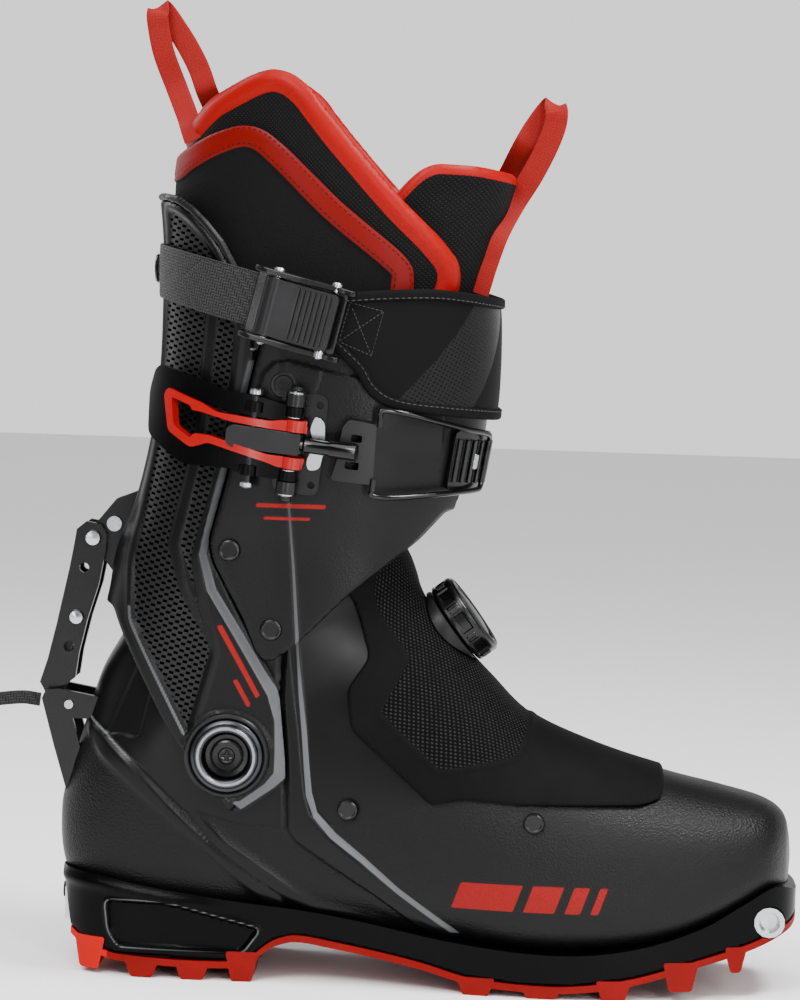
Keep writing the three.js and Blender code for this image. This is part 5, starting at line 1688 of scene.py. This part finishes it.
def make_strap_buckle():
    """Cam buckle: a frame with two side rails, a ribbed lever on a pin, and bright rivets at its corners."""
    frame = plate("strap_buckle_base", rounded(rectangle(-17, 19, 13.5), 3), 4.6, 6.0)
    finish(laid(frame, STRAP, 0.4, CAM_U), "cuff", HARDWARE, ["strap_buckle_frame"])
    for v, name in ((-13, "lower"), (13, "upper")):
        rail = side_rail(f"strap_buckle_rail_{name}", rounded(RAIL, 1.8), v)
        finish(laid(rail, STRAP, 0.4, CAM_U), "cuff", HARDWARE)
        for u, label in ((-8.5, "rear"), (12.5, "front")):
            top = v + (2.3 if v > 0 else 1.7)
            tip = pin(f"strap_buckle_rivet_{name}_{label}", STRAP, u, 9.6, v - 1.7, top, 2.1)
            finish(tip, "cuff", STEEL)
    lever = plate("strap_buckle_plate", rounded(rectangle(-12, 17, 11), 2.2), 9.6, 11.6)
    combine(lever, rod(4, -11, 11, (CAM_U, -8.2, 0), (0, 0, 1), 36), "UNION")
    for k in range(7):
        u = 0.5 + 2.1 * k
        combine(lever, plate("rib", rounded(rectangle(u, u + 1.1, 10), 0.4), 11.0, 12.5, step=8), "UNION")
    laid(lever, STRAP, 0.25, CAM_U)
    finish(lever, "strap_cam", HARDWARE_SATIN, ["strap_buckle_lever"])
    axle = pin("strap_buckle_axle", STRAP, CAM_U, 8.2, -15.2, 15.2, 1.6)
    finish(axle, "cuff", STEEL, ["strap_buckle_pin"])


def rectangle(u0, u1, half_height):
    return [(u0, -half_height), (u1, -half_height), (u1, half_height), (u0, half_height)]


def side_rail(name, outline, v):
    """An outline of u and w, 2.2 mm thick at a height v."""
    u, w = np.asarray(outline, float).T
    return extrusion(name, [np.column_stack([u, -w, np.full(len(u), v + t)]) for t in (-1.1, 1.1)])


LEVER_OUTLINE = [
    (-63.5, 11.7), (-61, 20.4), (-56.5, 22.6), (-32.5, 18.8), (-26.7, 16.4), (-19.7, 17), (-11.5, 16.1),
    (-3, 14.6), (3.4, 12.5), (3.4, -12.5), (-3, -14.3), (-17.5, -14), (-21.3, -12.6), (-39.9, -14),
    (-60, -4.6),
]
LEVER_WINDOW = [
    (-50.6, 11.4), (-48.8, 14.2), (-33.9, 10.6), (-18.3, 8.8), (-4, 8.2), (6, 8.2), (6, -8.6), (-4.1, -8.8),
    (-17.9, -6.4), (-29.1, -3.8), (-36.6, -6.8), (-46.4, -2),
]
INSERT_OUTLINE = [
    (-51, 11.6), (-49.2, 14.4), (-33.9, 10.8), (-28, 8.2), (-8.2, 7.8), (-4, 8.9), (4, 8.9), (5.4, 7.4),
    (5.4, -7.4), (4, -9), (-3.8, -9.4), (-7.7, -8.2), (-29.9, -4), (-36.6, -7), (-46.9, -2),
]
INSERT_WINDOW = [
    (-47, 11), (-38.5, 9), (-37.5, 7.4), (-33, 7.2), (-22.4, 5.4), (-7, 4.8), (6.5, 4.8), (6.5, -4.9),
    (-8.2, -5), (-29.3, -1.2), (-35.6, -1.2), (-37, -3.4), (-44.6, 0.6),
]
LINK_U = -14.7  # the tension rod's pin, behind the lever's own


def make_buckle_lever():
    lever = plate("lever_frame", rounded(LEVER_OUTLINE, 3), 4.6, 7.0, [rounded(LEVER_WINDOW, 1.5)])
    for v in (-1, 1):
        for u in (0, LINK_U):
            combine(lever, rod(3.4, 10.4, 14.2, (u, -6.0, 0), (0, 0, v), 28), "UNION")
    finish(laid(lever, BUCKLE, 0.45), "buckle_lever", DEEP_BLACK, ["buckle_lever"])
    insert = plate("lever_insert", rounded(INSERT_OUTLINE, 1.6), 5.2, 8.6, [rounded(INSERT_WINDOW, 1.2)])
    for v in (-1, 1):
        combine(insert, rod(3.9, 4.9, 9.4, (1.2, -6.6, 0), (0, 0, v), 32), "UNION")
    finish(laid(insert, BUCKLE, 0.6), "buckle_lever", RED_ANODISED, ["buckle_lever_insert"])
    link = pin("lever_link_pin", BUCKLE, LINK_U, 6.0, -17.6, 17.6, 1.7)
    finish(link, "buckle_lever", HARDWARE, ["buckle_link_pin"])
    for name, v in ENDS:
        v = 17.9 * v
        cap = pin(f"lever_link_cap_{name}", BUCKLE, LINK_U, 6.0, v - 1.3, v + 1.3, 2.7, 28, 0.6)
        finish(cap, "buckle_lever", STEEL)


def make_buckle_base():
    holes = [circle(9, 15.5, 1.4), circle(9, -15.5, 1.4)]
    base = plate("hinge_plate", rounded(rectangle(-6, 12, 19.6), 4), 0.4, 1.6, holes)
    for _, v in ENDS:
        combine(base, rod(4, 14.6, 19.4, (0, -6.0, 0), (0, 0, v), 36), "UNION")
        combine(base, box_solid((-4, 4), (-6.0, -0.6), sorted((v * 14.6, v * 19.4))), "UNION")
    finish(laid(base, BUCKLE, 0.35, 0.0), "cuff", HARDWARE, ["buckle_base"])
    for name, v in ENDS:
        for reach, radius, look, label in ((19.2, 3.1, STEEL, "washer"), (21.4, 2.4, HARDWARE, "nut")):
            at = v * reach
            cap = pin(f"hinge_{label}_{name}", BUCKLE, 0, 6.0, at - 1.2, at + 1.2, radius)
            finish(cap, "cuff", look)
        bush = pin(f"hinge_bush_{name}", BUCKLE, 0, 6.0, v * 12 - 2.3, v * 12 + 2.3, 2.9, 32, 0.4)
        finish(bush, "cuff", STEEL)


def make_tension_link():
    outline = [(-24.5, -2.6), (-22, -4.4), (5, -4.2), (5, 4.2), (-22, 4.6), (-24.5, 3)]
    body = plate("link_block", rounded(outline, 1.2), 4.0, 8.4)
    finish(laid(body, BUCKLE, 0.6, LINK_U), "buckle_link", HARDWARE_SATIN, ["tension_block"])
    rod_line = [(u, -6.2, 0.0) for u in (2, 6, 7, 16, 17, 27)]
    threaded = tube("link_rod", rod_line, [2.0, 2.0, 2.9, 2.9, 3.4, 3.4], 32)
    finish(laid(threaded, BUCKLE, 0, LINK_U), "buckle_link", GLOSS_BLACK, ["tension_rod"])
    outline = [(7, -10), (11.5, -9), (12.6, 0), (11.5, 9.6), (7.5, 11.6), (6, 6), (8.6, 0), (6, -6)]
    shim = plate("link_plate", rounded(outline, 2), 2.0, 3.4)
    finish(laid(shim, BUCKLE, 0.3, 9.0), "buckle_link", STEEL, ["tension_plate"])
    outline = [(18, 9), (20, 12), (30, 11.4), (31.5, -12), (16, -12), (17.4, -4)]
    upper = [(21.5, 6.5), (25.5, 6.5), (25.5, 3.6), (21.5, 3.6)]
    lower = [(20.5, -4), (25.5, -4), (25.5, -7), (20.5, -7)]
    slots = [rounded(slot, 0.8) for slot in (upper, lower)]
    holder = plate("bail_holder", rounded(outline, 1.5), 1.6, 6.6, slots)
    finish(laid(holder, BUCKLE, 0.6), "buckle_link", HARDWARE_SATIN, ["bail_tube"])


def buckle_place(x, grow):
    rows = spots(CUFF, lateral_angle(CUFF, x, 123), BUCKLE_HEIGHT, BUCKLE_TILT, grow)
    return [row[0] for row in rows]


def make_bail():
    hinge_up = buckle_place(22.7, 6)[2]
    bracket = buckle_place(53, 7)[0]
    crossbar = [row[0] for row in spots(CUFF, math.radians(344.5), BUCKLE_HEIGHT, BUCKLE_TILT, 4.3)]
    halves = []
    for v in (1, -1):
        side = [bracket + hinge_up * v * reach for reach in (10, 14, 16.4)]
        for x, grow, reach in ((60, 7, 16.5), (70, 5.6, 15), (84, 4.8, 12.5), (92, 4.8, 11)):
            place = buckle_place(x, grow)
            side.append(place[0] + place[2] * v * reach)
        side += [crossbar[0] + crossbar[2] * v * reach for reach in (9, 4)]
        halves.append(side)
    made = tube("bail_wire", curve_through(halves[0] + halves[1][::-1], 8), 1.1)
    finish(made, "bail", GLOSS_BLACK, ["wire_bail"])


def buckle_u(degrees):
    """How far along the buckle's band an angle round the leg is."""
    return float(np.interp(math.radians(degrees), BUCKLE.angles, BUCKLE.along))


def make_rack():
    base = plate("rack_base", rounded(rectangle(buckle_u(322), buckle_u(356), 12), 3), 0.4, 2.2)
    for u in map(buckle_u, (324, 329, 334, 340.5, 349.5, 354)):
        tooth = rounded(rectangle(u - 0.9, u + 0.9, 8.5), 0.6)
        combine(base, plate("tooth", tooth, 1.4, 3.7, step=6), "UNION")
    finish(laid(base, BUCKLE, 0.3), "cuff", HARDWARE, ["buckle_rack"])
    u = buckle_u(337.5)
    bit = plate("rack_insert", rounded(rectangle(u - 1.6, u + 1.6, 3), 0.8), 1.4, 3.4, step=4)
    finish(laid(bit, BUCKLE, 0.3), "cuff", STEEL)


# ------------------------------------------------------------------ turned hardware
def cross_recess(piece, at, direction, size, depth):
    """Cuts a cross for a driver into a turned head."""
    turn = turn_to(direction)
    for long, wide in ((size, size * 0.22), (size * 0.22, size)):
        combine(piece, box_solid((-long, long), (-wide, wide), (-depth, depth), at, turn))


# Profiles of turned pieces: distance from the axis, and height along it.
PIVOT_BOLT = [
    (0, 31.8), (9, 31.8), (9, 33), (6, 33), (6, 41.6), (8.8, 41.6), (8.8, 43.2), (8.2, 43.6), (6.6, 43.3),
    (6.1, 44.6), (5.4, 45), (3.4, 44.8), (2.9, 44.2), (0, 44.1),
]
BEARING = [
    (9.3, 40.2), (11.8, 40.2), (11.8, 45), (13.8, 45), (14, 45.7), (13.5, 46.3), (12.7, 46.6), (12.5, 47.0),
    (12.1, 47.6), (10.4, 47.7), (9.7, 47.2), (9.3, 45.6),
]
BRIGHT_RING = [(10.2, 46.6), (11.5, 46.6), (11.7, 47.7), (11.4, 48.1), (10.5, 48.1), (10.2, 47.7)]
COLLAR = [(14.2, 43.4), (16.2, 43.4), (16.4, 45.2), (15.8, 45.9), (15, 45.9), (14.4, 45.2)]
RIVET = [(0, -3), (1.5, -3), (1.5, 0), (4.3, 0), (4.3, 0.5), (3.9, 1.1), (3.3, 1.3), (2.9, 1.0), (0, 1.0)]
SMALL_RIVET = [(0, 0), (4.1, 0), (4.1, 0.5), (3.7, 1.2), (3.1, 1.4), (2.7, 1.1), (0, 1.1)]
DISC = [(0, 0), (5.6, 0), (5.8, 0.7), (5.2, 1.4), (4.2, 1.6), (3.8, 1.3), (2.2, 1.3), (2, 1.9), (0, 2.0)]
SCREW = [(0, -1), (5.2, -1), (5.2, 1.1), (4.7, 1.7), (3.9, 1.8), (3.5, 1.3), (0, 1.3)]
GRIP = [
    (5, 0.9), (16.2, 0.9), (16.9, 1.2), *[(17.2, height) for height in np.arange(1.6, 8.6, 0.3)],
    (16.9, 9.2), (16.1, 9.9), (14.9, 10.2), (13.5, 10.1), (12.9, 9.6), (12.6, 8.8), (9.6, 8.4), (5, 8.4),
]
DIAL_RING = [(15.0, 9.8), (16.0, 9.7), (16.0, 10.2), (15.7, 10.45), (15.2, 10.5), (15.0, 10.4)]
DIAL_CAP = [(0, 8.2), (11, 8.2), (11, 9.4), (10.4, 9.9), (7.8, 10.3), (3, 10.6), (0, 10.6)]
DIAL_BASE = [(5.2, -5), (16.8, -5), (16.8, -0.3), (16.5, 0.2), (16, 0.4), (5.2, 0.4)]


def make_pivots():
    for name, sign in SIDES:
        out = (0, sign, 0)
        head = turned(f"pivot_bolt_head_{name}", PIVOT_BOLT, AXIS, out, 64)
        cross_recess(head, (0, sign * 44.6, 0), out, 2.1, 0.9)
        finish(head, "shell", HARDWARE, [f"pivot_bolt_{name}"])
        bearing = turned(f"pivot_bearing_{name}", BEARING, AXIS, out, 96)
        finish(bearing, "cuff", DARK_RING, [f"pivot_ring_{name}"])
        finish(turned(f"pivot_bright_ring_{name}", BRIGHT_RING, AXIS, out, 96), "cuff", BRUSHED)
        finish(turned(f"pivot_collar_{name}", COLLAR, AXIS, out, 96), "cuff", HARDWARE_SATIN)


def make_rivets():
    for side, sign in SIDES:
        out = (0, sign, 0)
        for i, (x, z) in enumerate(CUFF_RIVETS, 1):
            y = sign * (float(leg_y(CUFF, x, z)) + 0.7)
            made = turned(f"cuff_rivet_head_{side}_{i}", RIVET, (x, y, z), out, 40)
            finish(made, "cuff", HARDWARE, [f"cuff_rivet_{side}_{i}"])
        for i in (1, 2):
            node_name = f"gaiter_rivet_{side}_{i}"
            low, high = box_mm(node_name)
            x, _, z = (low + high) / 2
            y = (low if sign > 0 else high)[1]
            made = turned(f"{node_name}_head", SMALL_RIVET, (x, y, z), out, 40)
            finish(made, "shell", HARDWARE, [node_name])
    origin, _, _, out = (row[0] for row in spots(CUFF, math.pi, STRAP_HEIGHT, STRAP_TILT, 2.7))
    finish(turned("strap_rear_rivet", DISC, origin, out, 48), "cuff", HARDWARE, ["strap_rivet"])


def make_cuff_screws():
    x, z = SCREW_PLACE
    for side, sign in SIDES:
        at, out = (x, sign * float(leg_y(CUFF, x, z)), z), (0, sign, 0)
        made = turned(f"cuff_screw_{side}", SCREW, at, out)
        combine(made, rod(2.4, 0.3, 3, at, out, 6))
        smooth(made, 35)
        finish(made, "cuff", HARDWARE_SATIN)


def box_mm(name):
    """A CAD node's corners, in millimetres from the pivot."""
    return [(np.array(corner) - np.array(PIVOT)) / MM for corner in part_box(name)]


DIAL_SEAT = np.array([85.5, 0, 49.2])
DIAL_AXIS = np.array([math.cos(math.radians(37)), 0, math.sin(math.radians(37))])
GRIP_SECTORS = 8


def grip_relief(points):
    """Pockets round the grip, with two thin ribs between each pair."""
    offset = points - DIAL_SEAT
    height = offset @ DIAL_AXIS
    spoke = offset - height[:, None] * DIAL_AXIS
    radius = np.linalg.norm(spoke, axis=1)
    sideways = np.cross(DIAL_AXIS, [0, 1, 0])
    share = np.arctan2(spoke[:, 1], spoke @ sideways) / (2 * math.pi) * GRIP_SECTORS
    place = np.abs(share - np.round(share))
    pocket = ramp(0.3 - place, 0, 0.03) * ramp(2.6 - np.abs(height - 5), 0, 0.5)
    rib = ramp(0.035 - np.abs(place - 0.43), 0, 0.015) * ramp(2.2 - np.abs(height - 5), 0, 0.5)
    rise = np.where(radius > 16.5, 0.55 * rib - 0.8 * pocket, 0)
    return points + spoke * (rise / np.maximum(radius, 1))[:, None]


def make_dial():
    made = turned("dial_grip", GRIP, DIAL_SEAT, DIAL_AXIS, 320)
    finish(reshape(made, grip_relief, 32), "dial_knob", HARDWARE, ["dial_knob"])
    for name, profile, segments, look in (
        ("dial_bright_ring", DIAL_RING, 160, DARK_RING), ("dial_cap", DIAL_CAP, 64, HARDWARE_SATIN),
    ):
        finish(turned(name, profile, DIAL_SEAT, DIAL_AXIS, segments), "dial_knob", look)
    seat = turned("dial_plinth", DIAL_BASE, DIAL_SEAT, DIAL_AXIS, 96)
    combine(seat, loft("foot", foot_rings(foot_keys(3, RIM), 160, 2.4)))
    smooth(seat, 32)
    finish(seat, "shell", RUBBER_BLACK, ["dial_base"])


# ------------------------------------------------------------------ pieces kept from the CAD model
KEPT = [
    ("toe_insert", STEEL, 0.4), ("heel_insert", STEEL, 0.4), ("heel_insert_screw", HARDWARE, 0.3),
    ("boot_board", RUBBER_BLACK, 0.0), ("lace", STEEL, 0.0), ("catch_cheek_lateral", HARDWARE, 0.4),
    ("catch_cheek_medial", HARDWARE, 0.4), ("catch_axle", STEEL, 0.2), ("spine_bracket", HARDWARE, 0.5),
    ("bracket_bolt", STEEL, 0.3), ("lock_pin", STEEL, 0.4), ("lock_lever", HARDWARE, 0.35),
    ("lock_jaw", HARDWARE_SATIN, 0.4), ("jaw_pin", STEEL, 0.4), ("dial_hub", HARDWARE, 0.2),
]


def dress_kept():
    for name, look, width in KEPT:
        kept = frame["nodes"][name]
        wear(kept, look)
        smooth(kept, 32)
        if width:
            bevel(kept, width, 30)


def make_pull_tab():
    """Short stiff webbing on the lock lever."""
    low, high = box_mm("lock_pull_tab")
    (rear, _, bottom), (front, _, top) = low, high
    y, z = ((low + high) / 2)[1:]
    upper_half = [(front - 1, y, top - 4.5), (front - 8, y, z + 1)]
    lower_half = [(rear + 20, y, bottom + 4.5), (rear + 2, y, z - 1)]
    line = curve_through(upper_half + lower_half, 10)
    out = np.tile([0.0, -1.0, 0.0], (len(line), 1))
    made = strip("pull_tab_webbing", line, out, -2.7, 2.7, 1.6, 0.0, 12)
    finish(made, "lock", WEBBING_BLACK, ["lock_pull_tab"])


def make_footbed():
    body = loft("footbed_foam", foot_rings(foot_keys(3.5, RIM), 120, -SHELL_WALL - 6.0))
    combine(body, box_solid(*WHOLE_FOOT, (-64, -56)), "INTERSECT")
    smooth(body, 40)
    finish(body, "shell", LINING, ["footbed"])


# ------------------------------------------------------------------ stage
HORIZON = (1.25, 1.25, 1.25, 1)
DIM_SIDE = (0.38, 0.38, 0.39, 1)
CEILING = (0.1, 0.1, 0.105, 1)
FLOOR_REACH = 4000
# Name, place, what it lights, width and height, and power.
LAMPS = [
    ("key", (-250, -900, 900), (40, 0, 60), (420, 420), 11),
    ("strip", (520, -1150, 330), (60, 0, 60), (120, 1000), 9),
    ("rear_strip", (-420, -1100, 260), (20, 0, 60), (70, 1000), 3),
    ("toe", (560, -160, 900), (120, 0, 0), (260, 260), 13),
    ("front", (900, -500, 500), (90, 0, 40), (380, 520), 5),
    ("back", (-700, 500, 700), (0, 0, 100), (500, 700), 5),
    ("top", (60, 100, 1100), (60, 0, 60), (600, 600), 4),
]


def make_floor():
    turns = ((-1, -1), (1, -1), (1, 1), (-1, 1))
    corners = [(x * FLOOR_REACH, y * FLOOR_REACH, GROUND) for x, y in turns]
    made = make_object("floor", corners, [(0, 1, 2, 3)])
    made.location.z = CAD_BOUNDS[0].z - GROUND * MM - PIVOT.z
    floor = Look("pale_floor", Base_Color=(0.86, 0.86, 0.86, 1), Roughness=0.7)
    floor.give("Base Color", floor.noise(3.0, 2.0).mix((0.85, 0.85, 0.85, 1), (0.88, 0.88, 0.88, 1)))
    wear(made, floor)


def make_world():
    """Pale behind the boot, dimmer behind the camera and dark overhead."""
    studio = bpy.data.worlds.new("studio")
    studio.use_nodes = True
    tree = studio.node_tree
    direction = Signal(node(tree, "ShaderNodeTexCoord").outputs["Generated"])
    fore, side, rise = map(Signal, node(tree, "ShaderNodeSeparateXYZ", None, Vector=direction).outputs)
    walls = (side + fore * 0.7).spread(-0.9, 0.3).mix(DIM_SIDE, HORIZON)
    colour = rise.spread(0.1, 0.4).mix(walls, CEILING)
    tree.links.new(colour.socket, tree.nodes["Background"].inputs["Color"])
    bpy.context.scene.world = studio


def add_lamp(name, kind, energy):
    data = bpy.data.lights.new(name, kind)
    data.energy = energy
    lamp = bpy.data.objects.new(name, data)
    bpy.context.scene.collection.objects.link(lamp)
    return lamp


def make_lights():
    sun = add_lamp("sun", "SUN", 3.0)
    sun.data.angle = math.radians(50)
    sun.rotation_euler = Vector((-0.3, -0.5, 1)).to_track_quat("Z", "Y").to_euler()
    for name, place, aim, size, energy in LAMPS:
        lamp = add_lamp(name, "AREA", energy)
        lamp.data.shape = "RECTANGLE"
        lamp.data.size, lamp.data.size_y = size[0] * MM, size[1] * MM
        place, aim = Vector(place), Vector(aim)
        turn = (aim - place).to_track_quat("-Z", "Y").to_matrix().to_4x4()
        lamp.matrix_world = Matrix.Translation(Vector(world(place))) @ turn


for make in (
    make_floor, make_world, make_lights, make_lower_shell, make_cuff, make_gaiter, make_sole_plate,
    make_outsole, make_liner, make_flap, make_tongue, make_foot_liner, make_footbed, make_pull_loops,
    make_power_strap, make_strap_pad, make_strap_buckle, make_buckle_lever, make_buckle_base,
    make_tension_link, make_bail, make_rack, make_pivots, make_rivets, make_cuff_screws, make_dial,
    make_pull_tab, dress_kept,
):
    make()
